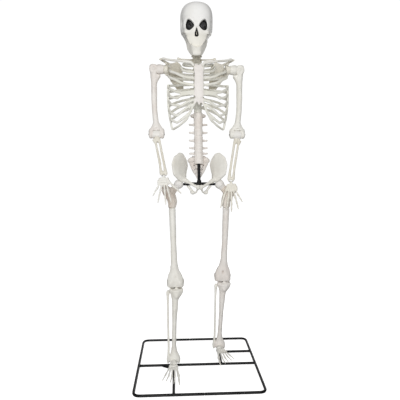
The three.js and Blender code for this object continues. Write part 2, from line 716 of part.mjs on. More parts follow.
// ---------------------------------------------------------------- neck and head
const NECK_STEP = 26;
function buildNeck() {
  const column = [];
  for (let i = 0; i <= 4; i++) {
    const z = THORAX_TOP + 2 * GAP + i * NECK_STEP;
    const y = thoracicY(THORAX_TOP) - i * 12;
    column.push([NECK_X + 2 - i, y, z, i % 2 ? 36 : 41, i % 2 ? 32 : 36]);
  }
  const wings = [0, 2].flatMap((i) =>
    [-1, 1].map((side) =>
      bone([
        [NECK_X + side * 24, thoracicY(THORAX_TOP) - i * 12 + 8, THORAX_TOP + 22 + i * NECK_STEP, 12, 12],
        [NECK_X + side * 52, thoracicY(THORAX_TOP) - i * 12 + 12, THORAX_TOP + 18 + i * NECK_STEP, 9, 8],
      ], [0, 1, 0], 5),
    ),
  );
  const yoke = [-1, 1].map((side) =>
    bone([
      [NECK_X, 196, 3160, 9, 9],
      [NECK_X + side * 120, 204, 3168, 6, 6],
      [NECK_X + side * 176, 204, 3172, 7, 7],
      [NECK_X + side * 194, 202, 3172, 11, 11],
    ], [0, 0, 1], 6),
  );
  piece("cervical_spine", join(bone(column, [1, 0, 0], 8, [0, 0, 1]), wings, yoke));
  const top = THORAX_TOP + 4 * NECK_STEP + 2 * GAP;
  // The neck swivel turns on the cervical spine and carries the skull's nodding axle.
  const acrossNod = (half) => [[SKULL_X - half, NOD_Y, NOD_Z], [SKULL_X + half, NOD_Y, NOD_Z]];
  const swivel = join(
    rod([SKULL_X, NOD_Y + 8, top + GAP], [SKULL_X, NOD_Y + 8, NOD_Z - 26], 34, 12),
    box([SKULL_X - 22, NOD_Y - 14, NOD_Z - 30], [SKULL_X + 22, NOD_Y + 14, NOD_Z]),
    rod(...acrossNod(24), 18, 12),
  ).subtract(hole(...acrossNod(40), AXLE_R + GAP));
  piece("neck_swivel", swivel);
  piece("nod_axle", rod(...acrossNod(58), AXLE_R, 10), PIN_MATERIAL);
}

function buildSkull() {
  const x = SKULL_X;
  const middleZ = SKULL_TOP - 178;
  const vault = bone(
    [
      [x, 60, 3290, 70, 100],
      [x, 66, 3335, 112, 162],
      [x, 66, 3400, 146, 194],
      [x, 64, 3482, 159, 205],
      [x, 60, 3562, 149, 192],
      [x, 58, 3634, 116, 146],
      [x, 58, SKULL_TOP, 72, 90],
    ],
    [1, 0, 0],
    12,
  );
  const face = bone(
    [
      [FACE_X, -104, 3196, 22, 32],
      [FACE_X, -98, 3222, 42, 44],
      [FACE_X, -84, 3264, 58, 64],
      [FACE_X, -62, 3318, 104, 86],
      [x, -54, 3375, 137, 88],
      [x, -42, 3470, 128, 98],
    ],
    [1, 0, 0],
    10,
  );
  const cheek = (side) =>
    bone(
      [
        [x + side * 114, -92, 3336, 20, 14],
        [x + side * 144, -52, 3348, 15, 10],
        [x + side * 150, -4, 3354, 12, 8],
        [x + side * 136, 34, 3358, 11, 9],
      ],
      [0, 0, 1],
      5,
    );
  const hollow = ball([x, 60, middleZ], [142, 186, 160], 12, 8);
  // A straight opening through the face, from an outline of [out, height] points.
  const opening = (side, outline, from, to, shrink = 1) => {
    const meanOf = (k) => outline.reduce((sum, p) => sum + p[k], 0) / outline.length;
    const middle = [meanOf(0), meanOf(1)];
    const points = outline.map(([out, z]) => {
      const dx = (out - middle[0]) * shrink;
      const dz = (z - middle[1]) * shrink;
      return new THREE.Vector2(FACE_X + side * (middle[0] + dx), middle[1] + dz);
    });
    const settings = { depth: to - from, bevelEnabled: false };
    const shape = new THREE.ExtrudeGeometry(new THREE.Shape(points), settings);
    return solid(shape.rotateX(Math.PI / 2).translate(0, to, 0));
  };
  const eyes = [-1, 1].map((side) => opening(side, EYE_OUTLINE, -190, -30));
  const nose = opening(1, NOSE_OUTLINE, -200, -104);
  const neckHole = box([x - 66, 56, 3240], [x + 66, 172, 3352]);
  const jawSlot = (side) => box(
    [x + side * 96 - 17, JAW_Y - 66, JAW_Z - 90],
    [x + side * 96 + 17, JAW_Y + 34, JAW_Z + 26],
  );
  const jawBore = hole([x - 150, JAW_Y, JAW_Z], [x + 150, JAW_Y, JAW_Z], AXLE_R + GAP);
  const jawRoom = join(jawSlot(-1), jawSlot(1), jawBore);
  const cuts = join(hollow, eyes, nose, neckHole, jawRoom);
  const whole = join(vault, face, cheek(-1), cheek(1)).subtract(cuts);
  const behind = box([-400, SEAM_Y - GAP, 3100], [400, 600, 3800]);
  const before = box([-400, -600, 3100], [400, SEAM_Y + GAP, 3800]);
  piece("skull_front", whole.subtract(behind));
  const lug = box([x + 30, NOD_Y - 18, NOD_Z - 16], [x + 48, NOD_Y + 18, NOD_Z + 66]);
  const otherLug = box([x - 48, NOD_Y - 18, NOD_Z - 16], [x - 30, NOD_Y + 18, NOD_Z + 66]);
  const axleBore = hole([x - 70, NOD_Y, NOD_Z], [x + 70, NOD_Y, NOD_Z], AXLE_R + GAP);
  const bridge = box([x - 82, NOD_Y - 18, NOD_Z + 62], [x + 82, NOD_Y + 18, NOD_Z + 78]);
  piece("skull_back", join(whole.subtract(before), lug, otherLug, bridge).subtract(axleBore));

  for (const [side, name] of [[-1, "right"], [1, "left"]]) {
    const insert = opening(side, EYE_OUTLINE, EYE_FRONT_Y, EYE_FRONT_Y + 26, 0.985);
    piece(`${name}_eye`, insert, EYE_MATERIAL);
  }
}

function buildJaw() {
  const x = SKULL_X;
  const arm = (side) =>
    bone(
      [
        [x + side * 97, JAW_Y, JAW_Z + 16, 9, 16],
        [x + side * 97, JAW_Y, JAW_Z - 12, 10, 18],
        [x + side * 96, JAW_Y - 14, JAW_Z - 50, 9, 26],
        [x + side * 92, 2, 3216, 10, 30],
      ],
      [1, 0, 0],
      6,
    );
  const body = (side) =>
    bone(
      [
        [x + side * 95, 10, 3240, 34, 8],
        [x + side * 92, -24, 3234, 46, 8],
        [FACE_X + side * 78, -76, 3202, 48, 9],
        [FACE_X + side * 50, -130, 3165, 43, 11],
        [FACE_X, -153, 3154, 33, 12],
      ],
      [0, 0, 1],
      6,
    );
  const axle = (half, radius, turned) => turned([x - half, JAW_Y, JAW_Z], [x + half, JAW_Y, JAW_Z], radius);
  piece("mandible", join(arm(-1), arm(1), body(-1), body(1)).subtract(axle(150, AXLE_R + GAP, hole)));
  piece("jaw_axle", axle(109, AXLE_R, rod), PIN_MATERIAL);
}

// ---------------------------------------------------------------- arms
const FORK_SLOT = 15.5; // half the slot in the humerus's head
const TONGUE = 14;
const ELBOW_SLOT = 35;
const ELBOW_EYE = 31;
const WRIST_SLOT = 16;
const WRIST_TAB = 13;

function buildUpperArm(side, name) {
  const at = (x, y, z) => [NECK_X + side * x, y, z];
  const pin = at(SHOULDER_X, SHOULDER_Y, SHOULDER_Z);
  const boss = rod(
    at(337, SHOULDER_Y, SHOULDER_Z),
    at(388, SHOULDER_Y, SHOULDER_Z),
    46,
    12,
  );
  const tongue = join(
    rod(
      at(SHOULDER_X, SHOULDER_Y - TONGUE, SHOULDER_Z),
      at(SHOULDER_X, SHOULDER_Y + TONGUE, SHOULDER_Z),
      30,
      12,
    ),
    box(
      [Math.min(at(380, 0, 0)[0], pin[0]), SHOULDER_Y - TONGUE, SHOULDER_Z - 26],
      [Math.max(at(380, 0, 0)[0], pin[0]), SHOULDER_Y + TONGUE, SHOULDER_Z + 26],
    ),
  );
  const pinRod = (extra) =>
    rod(
      at(SHOULDER_X, SHOULDER_Y - 44 - extra, SHOULDER_Z),
      at(SHOULDER_X, SHOULDER_Y + 44 + extra, SHOULDER_Z),
      8 + (extra ? GAP : 0),
      12,
    );
  piece(`${name}_shoulder_knuckle`, join(boss, tongue).subtract(pinRod(10)));
  piece(`${name}_shoulder_pin`, pinRod(0), PIN_MATERIAL);

  const headDrum = rod(
    at(SHOULDER_X, SHOULDER_Y - 41, SHOULDER_Z),
    at(SHOULDER_X, SHOULDER_Y + 41, SHOULDER_Z),
    46,
    14,
  );
  const shaft = bone(
    [
      [...at(ELBOW_X, ELBOW_Y, ELBOW_Z - 36), 68, 26],
      [...at(ELBOW_X, ELBOW_Y, ELBOW_Z), 80, 40],
      [...at(ELBOW_X, ELBOW_Y, ELBOW_Z + 40), 72, 38],
      [...at(ELBOW_X + 6, ELBOW_Y + 4, ELBOW_Z + 120), 28, 27],
      [...at(ELBOW_X + 20, 100, ELBOW_Z + 250), 26, 26],
      [...at(SHOULDER_X + 2, 120, ELBOW_Z + 530), 29, 29],
      [...at(SHOULDER_X, SHOULDER_Y, SHOULDER_Z - 50), 38, 36],
      [...at(SHOULDER_X, SHOULDER_Y, SHOULDER_Z - 12), 40, 38],
    ],
    [1, 0, 0],
    8,
  );
  const slot = join(
    rod(
      at(SHOULDER_X, SHOULDER_Y - FORK_SLOT, SHOULDER_Z),
      at(SHOULDER_X, SHOULDER_Y + FORK_SLOT, SHOULDER_Z),
      34,
      12,
    ),
    box(
      [NECK_X + side * SHOULDER_X - 60, SHOULDER_Y - FORK_SLOT, SHOULDER_Z - 33],
      [NECK_X + side * SHOULDER_X + 60, SHOULDER_Y + FORK_SLOT, SHOULDER_Z + 60],
    ),
  );
  const elbowX = NECK_X + side * ELBOW_X;
  const elbowSlot = join(
    rod([elbowX - ELBOW_SLOT, ELBOW_Y, ELBOW_Z], [elbowX + ELBOW_SLOT, ELBOW_Y, ELBOW_Z], 42, 12),
    box(
      [elbowX - ELBOW_SLOT, ELBOW_Y - 60, ELBOW_Z - 60],
      [elbowX + ELBOW_SLOT, ELBOW_Y + 60, ELBOW_Z + 10],
    ),
  );
  // Room for the forearm when the elbow is bent.
  const elbowRelief = box(
    [elbowX - ELBOW_SLOT, ELBOW_Y - 60, ELBOW_Z],
    [elbowX + ELBOW_SLOT, ELBOW_Y - 8, ELBOW_Z + 60],
  );
  const elbowPin = (extra) =>
    rod(
      [elbowX - 84 - extra, ELBOW_Y, ELBOW_Z],
      [elbowX + 84 + extra, ELBOW_Y, ELBOW_Z],
      8 + (extra ? GAP : 0),
      12,
    );
  const cuts = join(slot, elbowSlot, elbowRelief, pinRod(10), elbowPin(20));
  piece(`${name}_humerus`, join(headDrum, shaft).subtract(cuts));
  piece(`${name}_elbow_pin`, elbowPin(0), PIN_MATERIAL);
}

function buildForearm(side, name) {
  const elbow = [NECK_X + side * ELBOW_X, ELBOW_Y, ELBOW_Z];
  const wrist = WRISTS[name];
  const along = vec(wrist).sub(vec(elbow)).normalize();
  const eye = rod(
    [elbow[0] - ELBOW_EYE, ELBOW_Y, ELBOW_Z],
    [elbow[0] + ELBOW_EYE, ELBOW_Y, ELBOW_Z],
    37,
    12,
  );
  // A point of the forearm: t from elbow to wrist, out away from the body.
  const on = (t, out, back = 0) => {
    const p = mix(elbow, wrist, t);
    return [p.x + side * out, p.y + back, p.z];
  };
  const neck = bone(
    [[...on(0.02, 0), 27, 28], [...on(0.12, 1), 26, 23], [...on(0.185, 6), 36, 16]],
    [1, 0, 0],
    6,
  );
  const ulna = bone([
    [...on(0.12, -14, 4), 12, 16],
    [...on(0.24, -18, 2), 11, 14],
    [...on(0.78, -24), 11, 11],
    [...on(0.93, -24), 16, 15],
    [...on(0.965, -24), 16, 15],
  ], [1, 0, 0], 6);
  const radius = bone([
    [...on(0.125, 34), 20, 19],
    [...on(0.155, 32), 17, 17],
    [...on(0.23, 24), 10, 11],
    [...on(0.78, 16), 12, 12],
    [...on(0.93, 16), 19, 16],
    [...on(0.965, 16), 19, 16],
  ], [1, 0, 0], 6);
  const bridge = bone(
    [[...on(0.9, -4), 24, 11], [...on(0.965, -4), 30, 13], [...on(1.02, 0), 22, 11]],
    [1, 0, 0],
    6,
  );
  const wristSlot = rod(
    [wrist[0] - WRIST_SLOT, wrist[1], wrist[2]],
    [wrist[0] + WRIST_SLOT, wrist[1], wrist[2]],
    21,
    10,
  );
  const below = vec(wrist).addScaledVector(along, 30).toArray();
  const wristWay = bone([[...wrist, WRIST_SLOT, 21], [...below, WRIST_SLOT, 30]], [1, 0, 0], 4);
  const pin = (extra) =>
    rod(
      [wrist[0] - 24 - extra, wrist[1], wrist[2]],
      [wrist[0] + 24 + extra, wrist[1], wrist[2]],
      4 + (extra ? GAP : 0),
      10,
    );
  const elbowBore = rod([elbow[0] - 90, ELBOW_Y, ELBOW_Z], [elbow[0] + 90, ELBOW_Y, ELBOW_Z], 8 + GAP, 12);
  const made = join(eye, neck, ulna, radius, bridge).subtract(join(wristSlot, wristWay, pin(20), elbowBore));
  piece(`${name}_forearm`, made);
  piece(`${name}_wrist_pin`, pin(0), PIN_MATERIAL);
}

function buildHand(side, name) {
  const wrist = vec(WRISTS[name]);
  const { forward, sideways, thumb: thumbTip } = HAND_POSES[name];
  const turn = new THREE.Matrix4()
    .makeRotationX(-radians(forward))
    .multiply(new THREE.Matrix4().makeRotationY(radians(sideways)));
  // A point of the hand: thumbward, down from the wrist, and towards the front.
  const at = (thumb, down, front) =>
    new THREE.Vector3(-side * thumb, -front, -down).applyMatrix4(turn).add(wrist).toArray();
  const wide = new THREE.Vector3(1, 0, 0).applyMatrix4(turn);
  const tab = join(
    rod([wrist.x - WRIST_TAB, wrist.y, wrist.z], [wrist.x + WRIST_TAB, wrist.y, wrist.z], 17, 10),
    bone([[...at(0, 8, 0), 12, 13], [...at(2, 38, 0), 16, 11]], wide, 4),
  );
  const carpus = bone(
    [
      [...at(2, 30, 0), 34, 14],
      [...at(2, 46, 0), 50, 17],
      [...at(0, 74, 2), 56, 16],
      [...at(-2, 92, 2), 54, 13],
    ],
    wide,
    8,
  );
  const fingers = [
    { base: [-40, 84], head: [-66, 138], tip: [-108, 214], thick: 0.85 },
    { base: [-20, 88], head: [-34, 160], tip: [-62, 288], thick: 0.95 },
    { base: [2, 88], head: [4, 166], tip: [12, 310], thick: 1 },
    { base: [24, 86], head: [36, 160], tip: [62, 290], thick: 1 },
    { base: [42, 60], head: [44 + 0.3 * thumbTip[0], 56 + 0.33 * thumbTip[1]], tip: thumbTip, thick: 1.1 },
  ].map(({ base, head, tip, thick }) => {
    const flat = (a, b, t) => [a[0] + (b[0] - a[0]) * t, a[1] + (b[1] - a[1]) * t];
    const run = [
      [flat(base, head, -0.1), 10, 0],
      [flat(base, head, 0.5), 7, 2],
      [head, 10, 4],
      [flat(head, tip, 0.25), 6.5, 6],
      [flat(head, tip, 0.48), 8.5, 8],
      [tip, 5, -4],
    ];
    return bone(run.map(([p, r, front]) => [...at(p[0], p[1], front), r * thick, r * thick]), wide, 4);
  });
  const pinBore = rod([wrist.x - 60, wrist.y, wrist.z], [wrist.x + 60, wrist.y, wrist.z], 4 + GAP, 10);
  piece(`${name}_hand`, join(tab, carpus, ...fingers).subtract(pinBore));
}

// ---------------------------------------------------------------- assembly
buildBase();
buildPoles();
buildSacrum();
buildLumbar();
buildRibCage();
buildNeck();
buildSkull();
buildJaw();
for (const [side, name] of [[-1, "right"], [1, "left"]]) {
  buildThigh(side, name);
  buildShin(name);
  buildFoot(side, name);
  buildHipBone(side, name);
  buildShoulderGirdle(side, name);
  buildUpperArm(side, name);
  buildForearm(side, name);
  buildHand(side, name);
}

export default skeleton;
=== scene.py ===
"""The looks of the giant posable skeleton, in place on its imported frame.

Each bone is modelled as a solid on a grid of cubes, starting from its CAD solid or from its
joints, and is then skinned with one smooth mesh. Places are in millimetres from a joint."""

import json
import math

import bpy
import numpy as np
import openvdb
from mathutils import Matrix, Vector

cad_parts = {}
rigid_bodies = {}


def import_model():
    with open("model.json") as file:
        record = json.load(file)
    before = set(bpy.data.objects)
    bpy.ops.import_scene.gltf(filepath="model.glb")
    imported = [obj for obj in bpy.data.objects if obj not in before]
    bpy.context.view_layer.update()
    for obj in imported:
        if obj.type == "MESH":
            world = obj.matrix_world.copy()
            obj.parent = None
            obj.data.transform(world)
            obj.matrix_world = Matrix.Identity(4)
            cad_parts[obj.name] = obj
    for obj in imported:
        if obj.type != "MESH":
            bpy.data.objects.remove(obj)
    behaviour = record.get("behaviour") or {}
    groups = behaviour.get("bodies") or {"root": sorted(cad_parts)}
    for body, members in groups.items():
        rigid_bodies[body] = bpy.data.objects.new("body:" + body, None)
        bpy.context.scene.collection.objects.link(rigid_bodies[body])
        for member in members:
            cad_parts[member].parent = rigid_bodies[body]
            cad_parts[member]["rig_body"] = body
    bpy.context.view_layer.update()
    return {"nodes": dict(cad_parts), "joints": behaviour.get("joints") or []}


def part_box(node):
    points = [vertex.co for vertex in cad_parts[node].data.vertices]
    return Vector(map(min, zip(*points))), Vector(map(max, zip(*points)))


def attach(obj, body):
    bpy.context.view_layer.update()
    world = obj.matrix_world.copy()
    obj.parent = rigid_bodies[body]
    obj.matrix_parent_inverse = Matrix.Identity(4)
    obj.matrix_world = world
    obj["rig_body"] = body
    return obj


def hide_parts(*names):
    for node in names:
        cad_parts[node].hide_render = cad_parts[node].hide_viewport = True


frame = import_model()
NODES = frame["nodes"]

FAR = 0.2  # metres: the value of a field away from anything
RELAXING = (0.5, -0.53, 0.5, -0.53)  # shares of the way to the middle of the neighbours
BAND = 6  # voxels on each side of a CAD surface in which its distance is known
MARGIN = 4  # voxels kept free round a solid
MM = 0.001
ACROSS, BACK, UP = (1, 0, 0), (0, 1, 0), (0, 0, 1)
X, Y, Z = 0, 1, 2


# ---------------------------------------------------------------- camera, stage and light

CAMERA_PLACE = (-0.19, -4.04, 2.04)
CAMERA_YAW = math.radians(3.10)
CAMERA_PITCH = math.radians(4.46)
FLOOR_WIDTH = 28


def make_camera():
    data = bpy.data.cameras.new("camera")
    data.lens = 36
    data.sensor_width = 36
    data.clip_end = 60
    camera = bpy.data.objects.new("camera", data)
    camera.location = CAMERA_PLACE
    forward = Vector((
        math.sin(CAMERA_YAW) * math.cos(CAMERA_PITCH),
        math.cos(CAMERA_YAW) * math.cos(CAMERA_PITCH),
        -math.sin(CAMERA_PITCH),
    ))
    camera.rotation_mode = "QUATERNION"
    camera.rotation_quaternion = forward.to_track_quat("-Z", "Y")
    bpy.context.scene.collection.objects.link(camera)
    bpy.context.scene.camera = camera


def make_floor():
    mesh = bpy.data.meshes.new("floor")
    reach = FLOOR_WIDTH / 2
    corners = [(-reach, -reach, 0), (reach, -reach, 0), (reach, reach, 0), (-reach, reach, 0)]
    mesh.from_pydata(corners, [], [(0, 1, 2, 3)])
    floor = bpy.data.objects.new("floor", mesh)
    bpy.context.scene.collection.objects.link(floor)
    material = bpy.data.materials.new("floor_white")
    material.use_nodes = True
    shader = material.node_tree.nodes["Principled BSDF"]
    shader.inputs["Base Color"].default_value = (0.93, 0.93, 0.93, 1)
    shader.inputs["Roughness"].default_value = 0.9
    shader.inputs["Emission Color"].default_value = (1, 1, 1, 1)
    shader.inputs["Emission Strength"].default_value = 0.75
    mesh.materials.append(material)
    floor.visible_diffuse = False
    floor.visible_glossy = False
    floor.visible_shadow = False


def area_light(name, place, target, size, watts):
    data = bpy.data.lights.new(name, "AREA")
    data.shape = "SQUARE"
    data.size = size
    data.energy = watts
    light = bpy.data.objects.new(name, data)
    light.location = place
    light.rotation_mode = "QUATERNION"
    light.rotation_quaternion = (Vector(target) - Vector(place)).to_track_quat("-Z", "Y")
    bpy.context.scene.collection.objects.link(light)


def make_light():
    world = bpy.data.worlds.new("studio")
    world.use_nodes = True
    tree = world.node_tree
    lighting = tree.nodes["Background"]
    lighting.inputs["Color"].default_value = (1, 1, 1, 1)
    lighting.inputs["Strength"].default_value = 0.30
    backdrop = tree.nodes.new("ShaderNodeBackground")
    backdrop.inputs["Color"].default_value = (1, 1, 1, 1)
    backdrop.inputs["Strength"].default_value = 1.05
    mix = tree.nodes.new("ShaderNodeMixShader")
    seen = tree.nodes.new("ShaderNodeLightPath")
    tree.links.new(seen.outputs["Is Camera Ray"], mix.inputs[0])
    tree.links.new(lighting.outputs[0], mix.inputs[1])
    tree.links.new(backdrop.outputs[0], mix.inputs[2])
    tree.links.new(mix.outputs[0], tree.nodes["World Output"].inputs["Surface"])
    bpy.context.scene.world = world
    area_light("key", (-0.5, -7.0, 3.3), (0, 0, 1.8), 3.2, 335)
    area_light("fill", (-3.4, -2.8, 2.0), (0, 0, 1.6), 2.0, 10)
    area_light("back", (2.4, 6.5, 3.2), (0, 0, 1.8), 4.0, 120)
    bpy.context.scene.view_settings.view_transform = "Standard"


# ---------------------------------------------------------------- materials

def mixed(tree, factor, low, high):
    """A colour that goes from low to high with the factor socket; low and high are colours or sockets."""
    mix = tree.nodes.new("ShaderNodeMix")
    mix.data_type = "RGBA"
    tree.links.new(factor, mix.inputs["Factor"])
    for socket, value in ((mix.inputs["A"], low), (mix.inputs["B"], high)):
        if isinstance(value, tuple):
            socket.default_value = (*value, 1)
        else:
            tree.links.new(value, socket)
    return mix.outputs["Result"]


def noise(tree, place, scale, detail=4, rough=0.55):
    node = tree.nodes.new("ShaderNodeTexNoise")
    node.inputs["Scale"].default_value = scale
    node.inputs["Detail"].default_value = detail
    node.inputs["Roughness"].default_value = rough
    tree.links.new(place, node.inputs["Vector"])
    return node.outputs["Fac"]


def steps(tree, value, low, high, start=0.0, end=1.0):
    """value, stretched so that low to high becomes start to end."""
    node = tree.nodes.new("ShaderNodeMapRange")
    node.inputs["From Min"].default_value = low
    node.inputs["From Max"].default_value = high
    node.inputs["To Min"].default_value = start
    node.inputs["To Max"].default_value = end
    tree.links.new(value, node.inputs["Value"])
    return node.outputs["Result"]


def product(tree, a, b):
    node = tree.nodes.new("ShaderNodeMath")
    node.operation = "MULTIPLY"
    tree.links.new(a, node.inputs[0])
    if isinstance(b, float):
        node.inputs[1].default_value = b
    else:
        tree.links.new(b, node.inputs[1])
    return node.outputs[0]


def new_material(name):
    material = bpy.data.materials.new(name)
    material.use_nodes = True
    tree = material.node_tree
    place = tree.nodes.new("ShaderNodeTexCoord").outputs["Object"]
    return material, tree, tree.nodes["Principled BSDF"], place


def bump(tree, shader, height, strength, distance):
    node = tree.nodes.new("ShaderNodeBump")
    node.inputs["Strength"].default_value = strength
    node.inputs["Distance"].default_value = distance
    tree.links.new(height, node.inputs["Height"])
    tree.links.new(node.outputs["Normal"], shader.inputs["Normal"])


def bone_material(name, pale, warm, shade_and_speck_colour, painted_shade_amount=0.9, other=None):
    """Moulded bone-coloured plastic: a pale skin, warmer patches, fine specks, and a light brown painted
    shade that darkens the hollows.

    other is a second colour of skin, used where the mesh has the attribute tint."""
    material, tree, shader, place = new_material(name)
    patches = steps(tree, noise(tree, place, 5.5, 3), 0.38, 0.66)
    specks = steps(tree, noise(tree, place, 60, 5, 0.65), 0.52, 0.74)
    skin = mixed(tree, patches, pale, warm)
    if other:
        tint = tree.nodes.new("ShaderNodeAttribute")
        tint.attribute_name = "tint"
        skin = mixed(tree, tint.outputs["Fac"], skin, other)
    # Painted shade: the skin darkens towards the shade colour the further each point lies in a hollow; the
    # specks take the same colour.
    hollow = tree.nodes.new("ShaderNodeAttribute")
    hollow.attribute_name = "hollow"
    uneven = steps(tree, noise(tree, place, 24, 4), 0.3, 0.62, 0.35, 1.0)
    depth = product(tree, product(tree, hollow.outputs["Fac"], uneven), painted_shade_amount)
    skin_with_painted_shade = mixed(tree, depth, skin, shade_and_speck_colour)
    speckled = mixed(tree, product(tree, specks, 0.10), skin_with_painted_shade, shade_and_speck_colour)
    tree.links.new(speckled, shader.inputs["Base Color"])
    roughness = steps(tree, noise(tree, place, 35, 3), 0.3, 0.7, 0.42, 0.58)
    tree.links.new(roughness, shader.inputs["Roughness"])
    shader.inputs["Specular IOR Level"].default_value = 0.25
    shader.inputs["Subsurface Weight"].default_value = 0.0
    grain = noise(tree, place, 260, 6, 0.6)
    bump(tree, shader, grain, 0.22, 0.0012)
    return material


def steel_material(name, colour, bare, metallic, roughness):
    """Powder-coated or plain steel with a fine orange-peel skin and rubbed patches."""
    material, tree, shader, place = new_material(name)
    rubbed = steps(tree, noise(tree, place, 14, 6, 0.7), 0.60, 0.78)
    tree.links.new(mixed(tree, product(tree, rubbed, 0.5), colour, bare), shader.inputs["Base Color"])
    shader.inputs["Metallic"].default_value = metallic
    shader.inputs["Specular IOR Level"].default_value = 0.22
    uneven = steps(tree, noise(tree, place, 40, 3), 0.3, 0.7, roughness - 0.07, roughness + 0.09)
    tree.links.new(uneven, shader.inputs["Roughness"])
    bump(tree, shader, noise(tree, place, 700, 2), 0.15, 0.0006)
    return material


def eye_material(name):
    """Dark glossy plastic, clouded with grey towards the middle of the insert."""
    material, tree, shader, place = new_material(name)
    clouds = steps(tree, noise(tree, place, 38, 6, 0.75), 0.36, 0.70)
    middle = tree.nodes.new("ShaderNodeAttribute")
    middle.attribute_name = "middle"
    amount = product(tree, clouds, middle.outputs["Fac"])
    clouded = mixed(tree, amount, (0.001, 0.001, 0.001), (0.11, 0.11, 0.115))
    tree.links.new(clouded, shader.inputs["Base Color"])
    shader.inputs["Roughness"].default_value = 0.36
    shader.inputs["Specular IOR Level"].default_value = 0.18
    return material


# The third colour of each bone material is its painted shade in the hollows, and the colour of its specks.
MATERIALS = {
    "plain": bone_material(
        "bone_plain", (0.86, 0.845, 0.79), (0.80, 0.775, 0.71), (0.28, 0.21, 0.14)
    ),
    "skull": bone_material(
        "bone_skull", (0.90, 0.895, 0.88), (0.86, 0.85, 0.82), (0.56, 0.52, 0.46),
        other=(0.85, 0.825, 0.755)
    ),
    "cream": bone_material(
        "bone_cream", (0.83, 0.80, 0.715), (0.76, 0.715, 0.61), (0.25, 0.18, 0.10),
        other=(0.85, 0.83, 0.79)
    ),
    "pink": bone_material("bone_pink", (0.84, 0.805, 0.765), (0.78, 0.72, 0.67), (0.30, 0.19, 0.13)),
    "brown": bone_material(
        "bone_brown", (0.79, 0.735, 0.665), (0.62, 0.51, 0.42), (0.22, 0.13, 0.08),
        other=(0.84, 0.82, 0.79)
    ),
    "rib": bone_material(
        "bone_rib", (0.83, 0.82, 0.76), (0.77, 0.755, 0.67), (0.24, 0.20, 0.13),
        other=(0.85, 0.81, 0.775)
    ),
    "tan": bone_material("bone_tan", (0.80, 0.77, 0.69), (0.70, 0.655, 0.55), (0.20, 0.16, 0.10)),
    "black": steel_material("steel_black", (0.003, 0.003, 0.0033), (0.02, 0.02, 0.021), 0.0, 0.42),
    "steel": steel_material("steel_bright", (0.30, 0.30, 0.30), (0.20, 0.195, 0.19), 0.9, 0.35),
    "eye": eye_material("eye_black"),
}


# ---------------------------------------------------------------- solids on a grid

def unit(v):
    v = np.array(v, float)
    return v / np.linalg.norm(v)


def smooth_min(a, b, blend):
    if blend <= 0:
        return np.minimum(a, b)
    return np.minimum(a, b) - np.maximum(blend - np.abs(a - b), 0) ** 2 / (4 * blend)


def blurred(field, passes):
    """The field after so many passes of a small bell-shaped average, each one voxel wide."""
    for _ in range(passes):
        for axis in range(3):
            field = np.moveaxis(field, axis, 0)
            wide = np.concatenate([field[:1], field[:1], field, field[-1:], field[-1:]])
            field = (wide[:-4] + 4 * wide[1:-3] + 6 * wide[2:-2] + 4 * wide[3:-1] + wide[4:]) / 16
            field = np.moveaxis(field, 0, axis)
    return np.ascontiguousarray(field, np.float32)


class Blob:
    """An ellipsoid, turned so that its first two radii lie along the given directions.

    Powers above 2, in its plan and in its height, make it squarer."""

    def __init__(self, centre, radii, first, second, square):
        self.square = square
        self.centre = np.array(centre, float)
        self.radii = np.array(radii, float)
        a = unit(first)
        b = unit(np.array(second, float) - a * np.dot(a, second))
        self.axes = np.array([a, b, np.cross(a, b)])
        reach = np.abs(self.axes.T) @ self.radii
        self.parts = [(self.distance, self.centre - reach, self.centre + reach)]

    def distance(self, x, y, z):
        dx, dy, dz = x - self.centre[0], y - self.centre[1], z - self.centre[2]
        plan, up = self.square
        u, v, w = (
            np.abs(axis[0] * dx + axis[1] * dy + axis[2] * dz) / radius
            for axis, radius in zip(self.axes, self.radii)
        )
        near = ((u ** plan + v ** plan) ** (up / plan) + w ** up) ** (1 / up)
        gap = np.sqrt(dx * dx + dy * dy + dz * dz)
        return np.where(near > 0.05, gap * (1 - 1 / np.maximum(near, 0.05)), -self.radii.min())


class Limb:
    """A smooth bar through stations [x, y, z, half width, half depth], with its width along wide.

    Its ends are rounded, or cut square if flat."""

    def __init__(self, stations, wide=ACROSS, count=5, flat=False):
        rows = np.array(stations, float)
        samples = smooth_rows(rows, count)
        wide = unit(wide)
        self.parts = []
        last = len(samples) - 2
        for i, (a, b) in enumerate(zip(samples[:-1], samples[1:])):
            along = b[:3] - a[:3]
            length = np.linalg.norm(along)
            if length < 1e-6:
                continue
            along = along / length
            across = unit(wide - along * np.dot(wide, along))
            deep = np.cross(along, across)
            reach = max(a[3], a[4], b[3], b[4])
            low = np.minimum(a[:3], b[:3]) - reach
            high = np.maximum(a[:3], b[:3]) + reach
            ends = (flat and i == 0, flat and i == last)
            self.parts.append((self.segment(a, b, along, across, deep, length, ends), low, high))

    @staticmethod
    def segment(a, b, along, across, deep, length, ends):
        def distance(x, y, z):
            dx, dy, dz = x - a[0], y - a[1], z - a[2]
            t = (along[0] * dx + along[1] * dy + along[2] * dz) / length
            u = across[0] * dx + across[1] * dy + across[2] * dz
            v = deep[0] * dx + deep[1] * dy + deep[2] * dz
            held = np.clip(t, 0, 1)
            beyond = (t - held) * length
            half_width = a[3] + (b[3] - a[3]) * held
            half_depth = a[4] + (b[4] - a[4]) * held
            cap = np.minimum(half_width, half_depth)
            near = np.sqrt((u / half_width) ** 2 + (v / half_depth) ** 2 + (beyond / cap) ** 2)
            steep = np.sqrt(
                (u / half_width ** 2) ** 2 + (v / half_depth ** 2) ** 2 + (beyond / cap ** 2) ** 2
            )
            gap = near * (near - 1) / np.maximum(steep, 1e-6)
            if ends[0]:
                gap = np.maximum(gap, -t * length)
            if ends[1]:
                gap = np.maximum(gap, (t - 1) * length)
            return gap

        return distance


